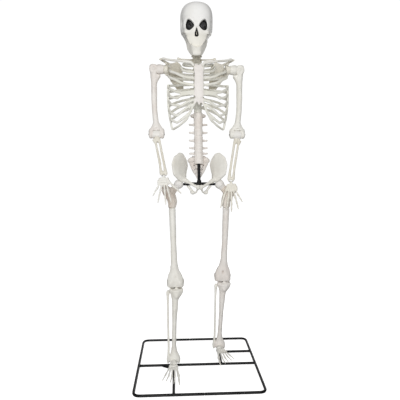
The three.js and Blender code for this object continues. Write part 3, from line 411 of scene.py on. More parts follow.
class Plate:
    """A plate cut to an outline of [across, up] points about origin, thick along the third direction."""

    def __init__(self, origin, across, up, outline, half_thickness, rounding=0.002):
        self.origin = np.array(origin, float)
        self.across = unit(across)
        self.up = unit(np.array(up, float) - self.across * np.dot(self.across, up))
        self.out = np.cross(self.across, self.up)
        self.outline = np.array(outline, float)
        self.half = half_thickness
        self.rounding = rounding
        corners = [
            self.origin + self.across * p[0] + self.up * p[1] + self.out * s
            for p in self.outline
            for s in (-half_thickness, half_thickness)
        ]
        self.parts = [(self.distance, np.min(corners, 0), np.max(corners, 0))]

    def distance(self, x, y, z):
        dx, dy, dz = x - self.origin[0], y - self.origin[1], z - self.origin[2]
        u = self.across[0] * dx + self.across[1] * dy + self.across[2] * dz
        v = self.up[0] * dx + self.up[1] * dy + self.up[2] * dz
        w = self.out[0] * dx + self.out[1] * dy + self.out[2] * dz
        edge = outline_distance(u, v, self.outline)
        a = edge + self.rounding
        b = np.abs(w) - self.half + self.rounding
        outside = np.sqrt(np.maximum(a, 0) ** 2 + np.maximum(b, 0) ** 2)
        return np.minimum(np.maximum(a, b), 0) + outside - self.rounding


def outline_distance(u, v, outline):
    """Signed distance in the plane to a closed outline, negative inside."""
    nearest = None
    inside = None
    for (ax, ay), (bx, by) in zip(outline, np.roll(outline, -1, axis=0)):
        ex, ey = bx - ax, by - ay
        t = np.clip(((u - ax) * ex + (v - ay) * ey) / (ex * ex + ey * ey), 0, 1)
        gap = (u - ax - t * ex) ** 2 + (v - ay - t * ey) ** 2
        nearest = gap if nearest is None else np.minimum(nearest, gap)
        crosses = ((ay > v) != (by > v)) & (u < ax + (v - ay) * ex / (ey if abs(ey) > 1e-9 else 1e-9))
        inside = crosses if inside is None else inside ^ crosses
    return np.sqrt(nearest) * np.where(inside, -1, 1)


def smooth_rows(rows, count):
    """Rows interpolated by a smooth curve through them, count steps between each pair."""
    padded = np.vstack([2 * rows[0] - rows[1], rows, 2 * rows[-1] - rows[-2]])
    padded[:, 3:] = np.maximum(padded[:, 3:], rows[:, 3:].min())
    found = []
    for i in range(1, len(padded) - 2):
        p0, p1, p2, p3 = padded[i - 1 : i + 3]
        for t in np.arange(count) / count:
            found.append(
                0.5 * (2 * p1 + (p2 - p0) * t + (2 * p0 - 5 * p1 + 4 * p2 - p3) * t * t
                       + (3 * p1 - p0 - 3 * p2 + p3) * t ** 3)
            )
    found.append(rows[-1])
    return np.array(found)


class Clay:
    """A solid as signed distances in metres, negative inside, on a grid of cubes."""

    def __init__(self, low, high, step):
        self.step = step
        self.first = np.floor(np.array(low) / step).astype(int) - MARGIN
        last = np.ceil(np.array(high) / step).astype(int) + MARGIN
        self.field = np.full(last - self.first + 1, FAR, np.float32)

    @classmethod
    def of_node(cls, *names, step=0.0035, room=0.0):
        """The solids of these CAD nodes."""
        boxes = [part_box(n) for n in names]
        low = np.min([b[0] for b in boxes], 0) - room
        high = np.max([b[1] for b in boxes], 0) + room
        clay = cls(low, high, step)
        field = clay.field
        for name in names:
            mesh = NODES[name].data
            mesh.calc_loop_triangles()
            points = np.empty(len(mesh.vertices) * 3, np.float32)
            mesh.vertices.foreach_get("co", points)
            corners = np.empty(len(mesh.loop_triangles) * 3, np.int32)
            mesh.loop_triangles.foreach_get("vertices", corners)
            grid = openvdb.FloatGrid.createLevelSetFromPolygons(
                points.reshape(-1, 3),
                triangles=corners.reshape(-1, 3).astype(np.uint32),
                transform=openvdb.createLinearTransform(voxelSize=step),
                halfWidth=BAND,
            )
            found = np.empty(field.shape, np.float32)
            grid.copyToArray(found, ijk=tuple(int(i) for i in clay.first))
            field = np.minimum(field, found)
        clay.field = field
        return clay

    def axes(self, window=None):
        window = window or [slice(0, n) for n in self.field.shape]
        ranges = [
            (self.first[i] + np.arange(window[i].start, window[i].stop)) * self.step for i in range(3)
        ]
        return np.meshgrid(*ranges, indexing="ij", sparse=True)

    def window(self, low, high, room):
        a = np.floor((np.array(low) - room) / self.step).astype(int) - self.first
        b = np.ceil((np.array(high) + room) / self.step).astype(int) - self.first + 1
        a = np.clip(a, 0, self.field.shape)
        b = np.clip(b, 0, self.field.shape)
        return tuple(slice(int(i), int(j)) for i, j in zip(a, b))

    def distances(self, shape, room):
        """The shape's own field, and the window of the grid that it covers."""
        low = np.min([p[1] for p in shape.parts], 0)
        high = np.max([p[2] for p in shape.parts], 0)
        outer = self.window(low, high, room)
        own = np.full([s.stop - s.start for s in outer], FAR, np.float32)
        for distance, a, b in shape.parts:
            inner = self.window(a, b, room)
            if any(s.stop <= s.start for s in inner):
                continue
            local = tuple(slice(s.start - o.start, s.stop - o.start) for s, o in zip(inner, outer))
            own[local] = np.minimum(own[local], distance(*self.axes(inner)))
        return own, outer

    def add(self, shape, blend=0.0):
        own, window = self.distances(shape, blend + 3 * self.step)
        self.field[window] = smooth_min(self.field[window], own, blend)

    def carve(self, shape, blend=0.0):
        own, window = self.distances(shape, blend + 3 * self.step)
        self.field[window] = -smooth_min(-self.field[window], own, blend)

    def keep_below(self, axis, level, sign=1):
        """Cuts off everything beyond a level along an axis; sign -1 keeps what is above it."""
        place = self.axes()[axis]
        self.field = np.maximum(self.field, (sign * (place - level)).astype(np.float32))

    def soften(self, passes, grow=0.0):
        """Rounds every edge. grow puts back what thin parts lose."""
        self.field = blurred(self.field, passes) - np.float32(grow)

    def uneven(self, height, size):
        """Low, irregular swellings about size apart."""
        x, y, z = self.axes()
        k = 2 * math.pi / size
        wave = np.sin(k * (0.8 * x + 0.5 * z) + 1.3) * np.sin(k * (0.9 * y - 0.4 * x) + 0.4)
        wave = wave + np.sin(k * (1.1 * z - 0.3 * y) + 2.1) * np.sin(k * (0.7 * x + 0.7 * y) + 0.9)
        self.field = self.field + (height / 2 * wave).astype(np.float32)

    def skin(self):
        """Vertices and four-cornered faces of the surface, by averaging the crossings in each cube."""
        field = self.field
        inside = field < 0
        count = np.zeros(np.array(field.shape) - 1, np.uint8)
        corners = [(i, j, k) for i in (0, 1) for j in (0, 1) for k in (0, 1)]
        for corner in corners:
            shifted = tuple(slice(c, n - 1 + c) for c, n in zip(corner, field.shape))
            count += inside[shifted]
        mixed_cells = (count > 0) & (count < 8)
        cells = np.argwhere(mixed_cells)
        index = np.full(count.shape, -1, np.int32)
        index[mixed_cells] = np.arange(len(cells))
        total = np.zeros((len(cells), 3))
        hits = np.zeros(len(cells))
        for a in corners:
            for d in range(3):
                if a[d]:
                    continue
                b = tuple(v + (1 if i == d else 0) for i, v in enumerate(a))
                fa = field[tuple((cells + a).T)]
                fb = field[tuple((cells + b).T)]
                crossed = (fa < 0) != (fb < 0)
                t = np.where(crossed, fa / np.where(fa == fb, 1, fa - fb), 0)
                point = np.array(a, float) + np.outer(t, np.eye(3)[d])
                total += point * crossed[:, None]
                hits += crossed
        points = (cells + total / hits[:, None] + self.first) * self.step
        faces = []
        for d in range(3):
            e, f = (d + 1) % 3, (d + 2) % 3
            here = [slice(None)] * 3
            there = [slice(None)] * 3
            here[d] = slice(0, -1)
            there[d] = slice(1, None)
            edges = np.argwhere(inside[tuple(here)] != inside[tuple(there)])
            keep = (edges[:, e] > 0) & (edges[:, f] > 0)
            keep &= (edges[:, e] < count.shape[e]) & (edges[:, f] < count.shape[f])
            edges = edges[keep]
            ring = []
            for de, df in ((-1, -1), (0, -1), (0, 0), (-1, 0)):
                cell = edges.copy()
                cell[:, e] += de
                cell[:, f] += df
                ring.append(index[tuple(cell.T)])
            quads = np.stack(ring, 1)
            outward = inside[tuple(edges.T)]
            quads[~outward] = quads[~outward][:, ::-1]
            faces.append(quads)
        return points, np.concatenate(faces)

    def hollows(self, points):
        """How far each point lies in a hollow, 0 to 1: the share of painted shade that the point gets."""
        near = blurred(np.clip(self.field, -BAND * self.step, BAND * self.step), 7)
        spot = points / self.step - self.first
        base = np.clip(np.floor(spot).astype(int), 0, np.array(near.shape) - 2)
        share = spot - base
        bent = np.zeros(len(points))
        for corner in [(i, j, k) for i in (0, 1) for j in (0, 1) for k in (0, 1)]:
            weight = np.prod(np.where(corner, share, 1 - share), 1)
            bent += weight * near[tuple((base + corner).T)]
        return np.clip(-2.2 * bent / self.step - 0.3, 0, 1)


def mesh_object(name, points, faces, attributes):
    mesh = bpy.data.meshes.new(name)
    corners = faces.shape[1]
    mesh.vertices.add(len(points))
    mesh.vertices.foreach_set("co", points.astype(np.float32).ravel())
    mesh.loops.add(faces.size)
    mesh.loops.foreach_set("vertex_index", faces.astype(np.int32).ravel())
    mesh.polygons.add(len(faces))
    mesh.polygons.foreach_set("loop_start", np.arange(0, faces.size, corners, dtype=np.int32))
    mesh.update(calc_edges=True)
    for label, values in attributes:
        layer = mesh.attributes.new(label, "FLOAT", "POINT")
        layer.data.foreach_set("value", values.astype(np.float32))
    mesh.polygons.foreach_set("use_smooth", np.full(len(faces), True))
    made = bpy.data.objects.new(name, mesh)
    bpy.context.scene.collection.objects.link(made)
    return made


def relaxed(points, faces):
    """Points eased towards the middle of their neighbours, then back out to keep their size."""
    pairs = np.concatenate([faces[:, [i, (i + 1) % 4]] for i in range(4)])
    pairs = np.concatenate([pairs, pairs[:, ::-1]])
    order = np.bincount(pairs[:, 0], minlength=len(points))[:, None]
    for step in RELAXING:
        total = np.stack([
            np.bincount(pairs[:, 0], weights=points[pairs[:, 1], d], minlength=len(points))
            for d in range(3)
        ], 1)
        points = points + step * (total / np.maximum(order, 1) - points)
    return points


def place(clay, node, material, tint=None):
    """Skins the clay and puts it in place of a CAD node, on the node's body.

    tint gives the share of the material's second colour at each point."""
    points, faces = clay.skin()
    # Painted shade: the surface is darker where it lies in a hollow.
    painted_shade = clay.hollows(points)
    points = relaxed(points, faces)
    attributes = [("hollow", painted_shade)]
    if tint:
        attributes.append(("tint", np.clip(tint(points), 0, 1)))
    made = mesh_object(f"{node}_shape", points, faces, attributes)
    return settle(made, node, material)


def settle(made, node, material):
    made.data.materials.append(MATERIALS[material])
    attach(made, NODES[node]["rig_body"])
    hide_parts(node)
    return made


# ---------------------------------------------------------------- places taken from the frame

JOINTS = {j["name"]: np.array(j["pos_m"], float) for j in frame["joints"]}
SIDES = (("right", -1), ("left", 1))


def middle(node):
    low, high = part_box(node)
    return np.array((low + high) / 2)


def section(node, level):
    """Centre x and y, and half sizes in x and y, of a CAD node at a height."""
    mesh = NODES[node].data
    points = np.empty(len(mesh.vertices) * 3)
    mesh.vertices.foreach_get("co", points)
    points = points.reshape(-1, 3)
    ends = np.array([e.vertices[:] for e in mesh.edges])
    a, b = points[ends[:, 0]], points[ends[:, 1]]
    crossing = (a[:, 2] - level) * (b[:, 2] - level) < 0
    a, b = a[crossing], b[crossing]
    t = (level - a[:, 2]) / (b[:, 2] - a[:, 2])
    cut = a[:, :2] + (b - a)[:, :2] * t[:, None]
    low, high = cut.min(0), cut.max(0)
    return (*((low + high) / 2), *((high - low) / 2))


def line_of(node):
    """The lowest and the highest point of the middle line of a CAD rod that stands nearly upright."""
    low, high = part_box(node)
    reach = 0.02
    a = section(node, low.z + reach)
    b = section(node, high.z - reach)
    start = np.array([a[0], a[1], low.z + reach])
    end = np.array([b[0], b[1], high.z - reach])
    return start, end


def at_level(node, level, side=1):
    """Places counted from the middle of a CAD node at a height."""
    return Local((*section(node, level)[:2], level), side)


class Local:
    """Places in millimetres from an anchor, with x counted outwards on that side of the body."""

    def __init__(self, anchor, side=1, turn=None):
        self.anchor = np.array(anchor, float)
        self.axes = np.eye(3) if turn is None else np.array(turn, float)
        self.side = np.array([side, 1, 1])

    def way(self, direction):
        return (np.array(direction, float) * self.side) @ self.axes

    def at(self, point):
        return self.anchor + self.way(point) * MM

    def limb(self, stations, wide=ACROSS, count=5, flat=False):
        rows = [[*self.at(s[:3]), s[3] * MM, s[4] * MM] for s in stations]
        return Limb(rows, self.way(wide), count, flat)

    def rod(self, start, end, radius, flat=False):
        """A round bar along x, through the anchor."""
        return self.limb([(x, 0, 0, radius, radius) for x in (start, end)], UP, 1, flat)

    def blob(self, centre, radii, square=(2, 2)):
        return Blob(self.at(centre), np.array(radii) * MM, self.way(ACROSS), self.way(BACK), square)

    def plate(self, origin, across, up, outline, half, rounding=2.0):
        points = np.array(outline, float) * MM
        return Plate(self.at(origin), self.way(across), self.way(up), points, half * MM, rounding * MM)


# ---------------------------------------------------------------- head

FACE = -6  # the face is turned a little to its right of the skull's middle
# Half of each outline, as [out from the middle of the face, height from the nodding axle].
EYE_OUTLINE = ((78, 166), (92, 156), (101, 127), (98, 86), (74, 67), (44, 80), (24, 108), (47, 146))
NOSE_OUTLINE = ((0, 89), (9, 62), (18, 28), (13, 13), (0, 10), (-13, 13), (-18, 28), (-9, 62))
SMILE_GAP = 4.5  # the dark line between the jaws
SEAM_GAP = 0.0006  # metres: the dark line between the two halves of the skull
TOOTH_WIDTH = 11.5
JAW_CURVE = 0.0125  # how fast the row of teeth falls back to each side
JAW_SLOPE = 0.23  # the line between the jaws climbs towards the back
SMILE = ((0, -100), (30, -90), (52, -70), (70, -47), (86, -21), (97, 4), (112, 44))


def rounded(outline, steps=4):
    """A closed outline with a smooth curve through its points."""
    points = np.array(outline, float)
    before, after, later = np.roll(points, 1, 0), np.roll(points, -1, 0), np.roll(points, -2, 0)
    rows = []
    for i, point in enumerate(points):
        for step in range(steps):
            t = step / steps
            a = 2 * point
            b = after[i] - before[i]
            c = 2 * before[i] - 5 * point + 4 * after[i] - later[i]
            d = -before[i] + 3 * point - 3 * after[i] + later[i]
            rows.append((a + b * t + c * t * t + d * t ** 3) / 2)
    return rows


def oblong(half_width, half_height):
    w, h = half_width, half_height
    return [(-w, -h), (w, -h), (w, h), (-w, h)]


def smile_line(lift=0.0):
    """The line between the jaws, from one side of the face to the other."""
    return [(-x, z + lift) for x, z in SMILE[:0:-1]] + [(x, z + lift) for x, z in SMILE]


def tooth_gaps(lift=0.0):
    """Places along the line between the jaws where two teeth meet."""
    for i in range(-6, 7):
        x = TOOTH_WIDTH * i + 4 * np.sign(i)
        yield x, np.interp(abs(x), [p[0] for p in SMILE], [p[1] for p in SMILE]) + lift


def eye_window(head, side, depth, from_y, grow=1.0):
    """The eye's outline pushed straight back through the face."""
    centre = np.mean(EYE_OUTLINE, 0)
    outline = [((x - centre[0]) * grow, (z - centre[1]) * grow) for x, z in EYE_OUTLINE]
    outline = rounded([(side * x, z) for x, z in outline])
    origin = (FACE + side * centre[0], from_y + depth / 2, centre[1])
    return head.plate(origin, ACROSS, UP, outline, depth / 2, 1.0)


def build_skull():
    head = Local(JOINTS["head_nod"])
    boxes = [np.array(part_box(n)) for n in ("skull_front", "skull_back")]
    low = np.minimum(boxes[0][0], boxes[1][0]) - 0.012
    high = np.maximum(boxes[0][1], boxes[1][1]) + 0.006
    clay = Clay(low, high, 0.003)
    # The vault, the forehead, the middle of the face, and the upper jaw.
    clay.add(head.blob((0, -42, 192), (161, 204, 173), square=(2.15, 3.3)))
    clay.add(head.blob((0, -160, 205), (128, 82, 120), square=(2.3, 2.4)), 0.03)
    clay.add(head.blob((FACE, -165, 92), (116, 78, 92), square=(2.4, 2.4)), 0.03)
    clay.add(head.limb([
        (FACE, -152, 66, 106, 72),
        (FACE, -158, 24, 112, 66),
        (FACE, -164, -22, 106, 60),
        (FACE, -176, -62, 78, 48),
    ]), 0.02)
    # On each side: cheek, brow, temple, cheekbone, ear, the ridge behind, and room for the jaw.
    for side in (-1, 1):
        clay.add(head.blob((FACE + side * 92, -186, 52), (38, 36, 26), square=(2.2, 2)), 0.022)
        clay.add(head.limb([
            (FACE + side * 22, -240, 122, 10, 7),
            (FACE + side * 54, -240, 168, 11, 7),
            (FACE + side * 88, -222, 182, 11, 7),
            (FACE + side * 112, -190, 156, 10, 8),
            (FACE + side * 117, -178, 110, 10, 8),
        ], UP), 0.02)
        clay.carve(head.limb([
            (side * 160, -132, 176, 34, 20), (side * 160, -128, 140, 38, 22),
        ], BACK, 3), 0.026)
        clay.carve(head.limb([
            (side * 185, -150, 10, 82, 82), (side * 185, 160, 4, 82, 82),
        ], UP, 1), 0.03)
        clay.add(head.limb([
            (side * 106, -190, 70, 14, 9),
            (side * 128, -150, 76, 12, 7),
            (side * 143, -92, 88, 10, 6),
            (side * 145, -44, 92, 10, 7),
            (side * 138, -6, 94, 13, 10),
        ], UP), 0.010)
        clay.add(head.limb([(side * 86, 36, 62, 26, 34), (side * 80, 18, 14, 13, 18)]), 0.02)
        clay.carve(head.blob((side * 140, 4, 52), (16, 9, 9)), 0.008)
        clay.add(head.limb([(side * 66, 142, 120, 8, 5), (0, 160, 132, 12, 7)], UP), 0.03)
        clay.carve(head.plate((side * 97, -80, -27), BACK, UP, oblong(56, 58), 15, 4))
    # The bridge of the nose.
    clay.add(head.limb([
        (FACE, -238, 132, 13, 8), (FACE, -243, 112, 10, 8), (FACE, -247, 96, 10, 7),
    ]), 0.014)
    below = smile_line() + [(150, 36), (150, -200), (-150, -200), (-150, 36)]
    clay.carve(head.plate((FACE, -210, 0), ACROSS, (0, -JAW_SLOPE, 1), below, 115, 1), 0.004)
    for side in (-1, 1):
        clay.carve(eye_window(head, side, 110, -300), 0.007)
    clay.carve(head.plate((FACE, -262, 0), ACROSS, UP, rounded(NOSE_OUTLINE), 60, 1), 0.005)
    # Teeth: shallow grooves up from the edge of the jaw.
    for x, z in tooth_gaps():
        y = -222 + JAW_CURVE * x * x
        clay.carve(head.limb([
            (FACE + x, y - 14, z - 4, 1.6, 9), (FACE + x, y - 12, z + 22, 1.2, 8),
        ]), 0.003)
    # The well for the neck, and its two ears on the nodding axle.
    clay.carve(head.plate((0, 9, 0), ACROSS, BACK, oblong(66, 58), 60, 6))
    for side in (-1, 1):
        clay.add(head.plate((side * 39, 0, 28), BACK, UP, oblong(18, 44), 9))
    clay.carve(head.rod(-70, 70, 7.6))
    clay.soften(1)
    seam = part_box("skull_front")[1].y + 0.0002
    whole = clay.field.copy()
    clay.keep_below(Y, seam)
    brow = JOINTS["head_nod"][2] + 0.105
    place(clay, "skull_front", "skull",
          tint=lambda p: np.clip((brow - p[:, Z]) / 0.09, 0, 1) * np.clip((-0.04 - p[:, Y]) / 0.05, 0, 1))
    clay.field = whole
    clay.keep_below(Y, seam + SEAM_GAP, -1)
    place(clay, "skull_back", "skull")


def build_eyes():
    """Dark inserts: a glossy rim flush with the socket round a clouded, dished middle."""
    head = Local(JOINTS["head_nod"])
    for name, side in SIDES:
        centre = np.mean(EYE_OUTLINE, 0)
        middle_x, middle_z = FACE + side * centre[0], centre[1]
        anchor = head.at((middle_x, -205, middle_z))
        clay = Clay(anchor - 0.07, anchor + 0.07, 0.0022)
        clay.add(eye_window(head, side, 26, -226, 0.99))
        face = head.blob((FACE, -138, 100), (140, 98, 150), square=(2.3, 2.2))
        inside, window = clay.distances(face, 0.2)
        clay.field[window] = np.maximum(clay.field[window], inside)
        clay.carve(eye_window(head, side, 40, -276, 0.74), 0.006)
        clay.carve(head.blob((middle_x, -252, middle_z - 6), (24, 40, 30)), 0.006)
        clay.soften(1)
        points, faces = clay.skin()
        rim = rounded([(x - centre[0], z - centre[1]) for x, z in EYE_OUTLINE])
        across = side * (points[:, 0] - anchor[0])
        inside = -outline_distance(across, points[:, 2] - anchor[2], np.array(rim) * MM)
        low_spot = np.hypot(across + 0.010, points[:, 2] - anchor[2] + 0.018) / 0.05
        cloud = np.clip((inside - 0.011) / 0.006, 0, 1) * np.clip(1.2 - low_spot, 0.15, 1)
        made = mesh_object(f"{name}_eye_insert", relaxed(points, faces), faces, [("middle", cloud)])
        settle(made, f"{name}_eye", "eye")


def build_nose_lining():
    """The black lining of the nose opening, with the pale wall that shows in its middle."""
    head = Local(JOINTS["head_nod"])
    middle_z = np.mean(NOSE_OUTLINE, 0)[1]
    outline = rounded([(x * 0.97, middle_z + (z - middle_z) * 0.98) for x, z in NOSE_OUTLINE])
    centre = head.at((FACE, -232, middle_z))
    clay = Clay(centre - 0.06, centre + 0.06, 0.002)
    clay.add(head.plate((FACE, -222, 0), ACROSS, UP, outline, 16, 1))
    clay.carve(head.blob((FACE, -250, 34), (9, 34, 24)), 0.004)
    points, faces = clay.skin()
    lining = mesh_object(
        "nose_lining", relaxed(points, faces), faces, [("middle", np.zeros(len(points)))]
    )
    lining.data.materials.append(MATERIALS["eye"])
    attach(lining, "head")
    wall = Clay(centre - 0.06, centre + 0.06, 0.002)
    wall.add(head.limb([
        (FACE, -226, 50, 2, 10), (FACE, -232, 32, 3.4, 10), (FACE, -232, 22, 3.6, 8),
    ]))
    points, faces = wall.skin()
    # The wall sits deep in the nose, so it gets an even share of painted shade.
    vomer = mesh_object(
        "nose_wall", relaxed(points, faces), faces, [("hollow", np.full(len(points), 0.3))]
    )
    vomer.data.materials.append(MATERIALS["cream"])
    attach(vomer, "head")


def build_mandible():
    jaw = Local(JOINTS["jaw_open"])
    low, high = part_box("mandible")
    clay = Clay(low - Vector((0.01, 0.012, 0.012)), high + Vector((0.01, 0.01, 0.01)), 0.003)
    for side in (-1, 1):
        clay.add(jaw.limb([
            (FACE + side * 1, -194, -90, 120, 10),
            (FACE + side * 26, -188, -90, 120, 10),
            (FACE + side * 43, -168, -90, 120, 9),
            (FACE + side * 54, -138, -90, 120, 8),
            (FACE + side * 68, -104, -90, 120, 8),
            (FACE + side * 82, -74, -90, 120, 8),
            (side * 92, -38, -90, 120, 8),
            (side * 95, -12, -90, 120, 8),
            (side * 95, 6, -90, 120, 8),
        ], UP), 0.004)
        clay.add(jaw.blob((side * 98, 0, 0), (13, 18, 18)), 0.006)
    # The lower edge runs level under the chin and climbs towards the joint.
    under = [
        (-260, -183), (-168, -183), (-140, -170), (-104, -139), (-62, -88), (-22, -46), (16, -16),
        (90, -16), (90, -300), (-260, -300),
    ]
    clay.carve(jaw.plate((0, 0, 0), BACK, UP, under, 150, 1), 0.010)
    # The back of each branch ends level with the knob on the axle.
    clay.carve(jaw.plate((0, 5, 109), BACK, UP, oblong(85, 91), 150, 1), 0.004)
    clay.add(jaw.blob((FACE, -192, -160), (38, 14, 22)), 0.024)
    # The upper edge is trimmed to follow the upper jaw.
    lift = 1000 * (JOINTS["head_nod"][2] - JOINTS["jaw_open"][2]) - SMILE_GAP
    above = smile_line(lift) + [(150, 60), (150, 150), (-150, 150), (-150, 60)]
    middle_of_cut = (FACE, -158, 52 * JAW_SLOPE)
    clay.carve(jaw.plate(middle_of_cut, ACROSS, (0, -JAW_SLOPE, 1), above, 100, 1), 0.004)
    for x, z in tooth_gaps(lift):
        y = -205 + JAW_CURVE * x * x
        clay.carve(jaw.limb([
            (FACE + x, y - 8, z + 2, 1.6, 7), (FACE + x, y - 8, z - 16, 1.2, 6),
        ]), 0.003)
    clay.carve(jaw.rod(-97, 97, 7.5, flat=True))
    clay.soften(1)
    place(clay, "mandible", "plain")


# ---------------------------------------------------------------- spine

# The side processes of the CAD solid mark the five lumbar vertebrae: their heights above its foot.
LUMBAR_LEVELS = (0.106, 0.164, 0.240, 0.321, 0.403)
LUMBAR_Y = 0.128
BODY_RISE = 0.006  # metres: the middle of a vertebra's body over its side processes


def groove(clay, middle_of_ring, half_width, half_depth, pieces=24):
    """A level groove round the body of the spine, where the disc shows between two vertebrae."""
    turns = [2 * math.pi * i / pieces for i in range(pieces + 1)]
    ring = [(half_width * math.cos(t), half_depth * math.sin(t), 0, 4, 3.2) for t in turns]
    for pair in zip(ring, ring[1:]):
        clay.carve(middle_of_ring.limb(pair, UP, 1), 0.004)


def build_lumbar():
    node = "lumbar_spine"
    low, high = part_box(node)
    clay = Clay.of_node(node, step=0.003)
    clay.soften(3, 0.0006)
    for i, rise in enumerate(LUMBAR_LEVELS):
        z = low.z + rise
        x = section(node, z + 0.028)[X]
        here = Local((x, LUMBAR_Y, z))
        for side in (-1, 1):
            clay.add(here.limb([
                (side * 26, 20, 2, 15, 13),
                (side * 62, 28, 1, 9, 8),
                (side * 84, 31, 2, 8, 8),
                (side * 91, 32, 3, 10, 8),
            ], UP), 0.010)
            clay.add(here.blob((side * 24, 46, 20), (11, 13, 20)), 0.008)
            clay.add(here.blob((side * 20, 50, -18), (10, 12, 17)), 0.008)
        clay.add(here.limb([(0, 40, 0, 9, 20), (0, 72, -6, 7, 19), (0, 94, -14, 8, 17)]), 0.008)
        if i < len(LUMBAR_LEVELS) - 1:
            half_height = (LUMBAR_LEVELS[i + 1] - rise) / 2
            width = (43 - 0.6 * i) * 1.02
            groove(clay, Local((x, LUMBAR_Y, z + BODY_RISE + half_height)), width, 40)
    clay.uneven(0.0008, 0.05)
    clay.soften(1)
    top = high.z
    collar = Local((section(node, top - 0.004)[X], 0.13, top - 0.03))
    for side in (-1, 1):
        clay.add(collar.blob((side * 60, 6, -2), (20, 22, 13)), 0.01)
    place(clay, node, "pink")


def build_neck():
    node = "cervical_spine"
    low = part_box(node)[0]
    clay = Clay.of_node(node, step=0.003, room=0.004)
    clay.soften(2, 0.0012)
    vertebra_height = 0.026
    for i in range(4):
        z = low.z + vertebra_height * (i + 0.5)
        here = at_level(node, z)
        for side in (-1, 1):
            clay.add(here.limb([(side * 26, 2, 0, 10, 7), (side * 50, 8, -3, 7, 6)], BACK), 0.006)
            clay.carve(here.blob((side * 40, -4, 2), (5, 5, 30)), 0.004)
        clay.add(here.limb([(0, 30, -2, 8, 8), (0, 58, -10, 6, 7)]), 0.006)
        clay.carve(here.limb([
            (-44, -34, 13, 2.4, 3), (0, -41, 13, 2.4, 3), (44, -34, 13, 2.4, 3),
        ], UP), 0.003)
    for side in (-1, 1):
        knob = Local((0.004 + side * 0.186, 0.203, 3.172), side)
        clay.add(knob.blob((0, 0, 0), (15, 11, 13)), 0.006)
        clay.add(knob.blob((6, -4, 8), (8, 8, 8)), 0.004)
    place(clay, node, "tan")


SACRUM_Y = 0.205


def build_sacrum():
    node = "sacrum"
    clay = Clay.of_node(node, step=0.003, room=0.004)
    clay.soften(4, 0.0012)
    x = middle(node)[X]
    # Four rows of holes and side grooves, and the low crest down the back.
    for i, (z, out) in enumerate(((2.122, 52), (2.075, 45), (2.030, 36), (1.990, 27))):
        here = Local((x, SACRUM_Y, z))
        for side in (-1, 1):
            clay.carve(here.blob((side * out, -8, 0), (8.5, 26, 7.5)), 0.005)
            clay.carve(here.blob((side * out * 0.9, 26, 0), (6, 18, 6)), 0.004)
            clay.carve(here.limb([
                (side * out, -24, 0, 4, 7), (side * (out + 22), -18, 4, 3, 5),
            ], UP), 0.006)
        clay.carve(here.limb([(-30, -25, -22, 3, 3), (30, -25, -22, 3, 3)], UP, 1), 0.005)
        clay.add(here.blob((0, 32 - 2 * i, 6), (7, 12, 15)), 0.010)
    for side in (-1, 1):
        here = Local((x, SACRUM_Y, 2.140), side)
        clay.add(here.limb([
            (36, -14, 0, 20, 16), (78, -6, -4, 24, 20), (100, 4, -16, 18, 18),
        ], UP), 0.016)
        clay.add(here.limb([(56, 14, 20, 14, 16), (62, 20, 58, 10, 12)]), 0.014)
    clay.uneven(0.0020, 0.03)
    clay.soften(1)
    place(clay, node, "pink")


# ---------------------------------------------------------------- rib cage and shoulder blades

THORAX_TOP = 3.108  # the highest of the thoracic processes
THORAX_FOOT, THORAX_HEIGHT = 2.615, 0.510  # the stretch in which the spine leans back


def build_ribs():
    front = Clay.of_node("rib_cage_front", step=0.003)
    front.soften(2, 0.0020)
    x = middle("rib_cage_front")[X]
    chest = Local((x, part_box("rib_cage_front")[0].y, 0))
    # The breastbone: a notched top, and faint ridges where its segments join.
    front.carve(chest.blob((0, 48, 3062), (22, 30, 15)), 0.010)
    for z in (2965, 2905, 2850, 2795):
        y = 12 + (z - 2760) * 0.155
        front.add(chest.limb([(-34, y, z, 3, 3), (34, y, z, 3, 3)], UP, 1), 0.008)
    front.uneven(0.0007, 0.045)
    front.soften(1, 0.0002)
    place(front, "rib_cage_front", "rib", tint=lambda p: (0.050 - abs(p[:, X] - x)) / 0.012)

    node = "rib_cage_back"
    back = Clay.of_node(node, step=0.003)
    back.soften(2, 0.0020)
    # Ten thoracic vertebrae: side processes that meet the ribs, and a spine pointing down behind.
    for z in np.linspace(THORAX_TOP, 2.676, 10):
        share = (z - THORAX_FOOT) / THORAX_HEIGHT
        y = 0.128 + 0.077 * math.sin(min(share, 1) * math.pi * 0.5)
        here = Local((section(node, z)[X], y, z))
        for side in (-1, 1):
            back.add(here.limb([
                (side * 20, 22, 0, 12, 11), (side * 58, 44, 6, 9, 9), (side * 66, 48, 8, 11, 10),
            ], UP), 0.008)
        back.add(here.limb([(0, 34, 2, 7, 16), (0, 62, -16, 5, 13), (0, 80, -34, 6, 9)]), 0.006)
        back.carve(here.limb([
            (-42, -18, -24, 3, 4), (0, -38, -24, 3, 4), (42, -18, -24, 3, 4),
        ], UP), 0.004)
    back.uneven(0.0007, 0.045)
    back.soften(1, 0.0002)
    place(back, node, "rib")


def build_shoulder_blades():
    for name, side in SIDES:
        node = f"{name}_scapula"
        clay = Clay.of_node(node, step=0.003, room=0.003)
        clay.soften(2, 0.0014)
        here = Local(JOINTS[f"{name}_shoulder_swing"], side)
        # The rounded rim of the joint, the hooked end of the spine and the thick outer border.
        clay.add(here.limb([(-182, 118, -130, 7, 7), (-120, 90, -60, 9, 9), (-78, 60, -8, 12, 12)]), 0.010)
        clay.add(here.blob((2, -36, 92), (17, 15, 10)), 0.008)
        clay.uneven(0.0010, 0.05)
        clay.soften(1)
        place(clay, node, "tan")
        node = f"{name}_clavicle"
        clay = Clay.of_node(node, step=0.003, room=0.030)
        clay.soften(2, 0.0018)
        neck = Local((0.004, 0, 0), side)
        clay.add(neck.limb([
            (74, -94, 3064, 13, 14), (56, -98, 3050, 13, 14), (46, -100, 3036, 12, 12),
        ]), 0.006)
        clay.add(neck.blob((330, 44, 3128), (22, 12, 12)), 0.010)
        place(clay, node, "plain")


# ---------------------------------------------------------------- pelvis

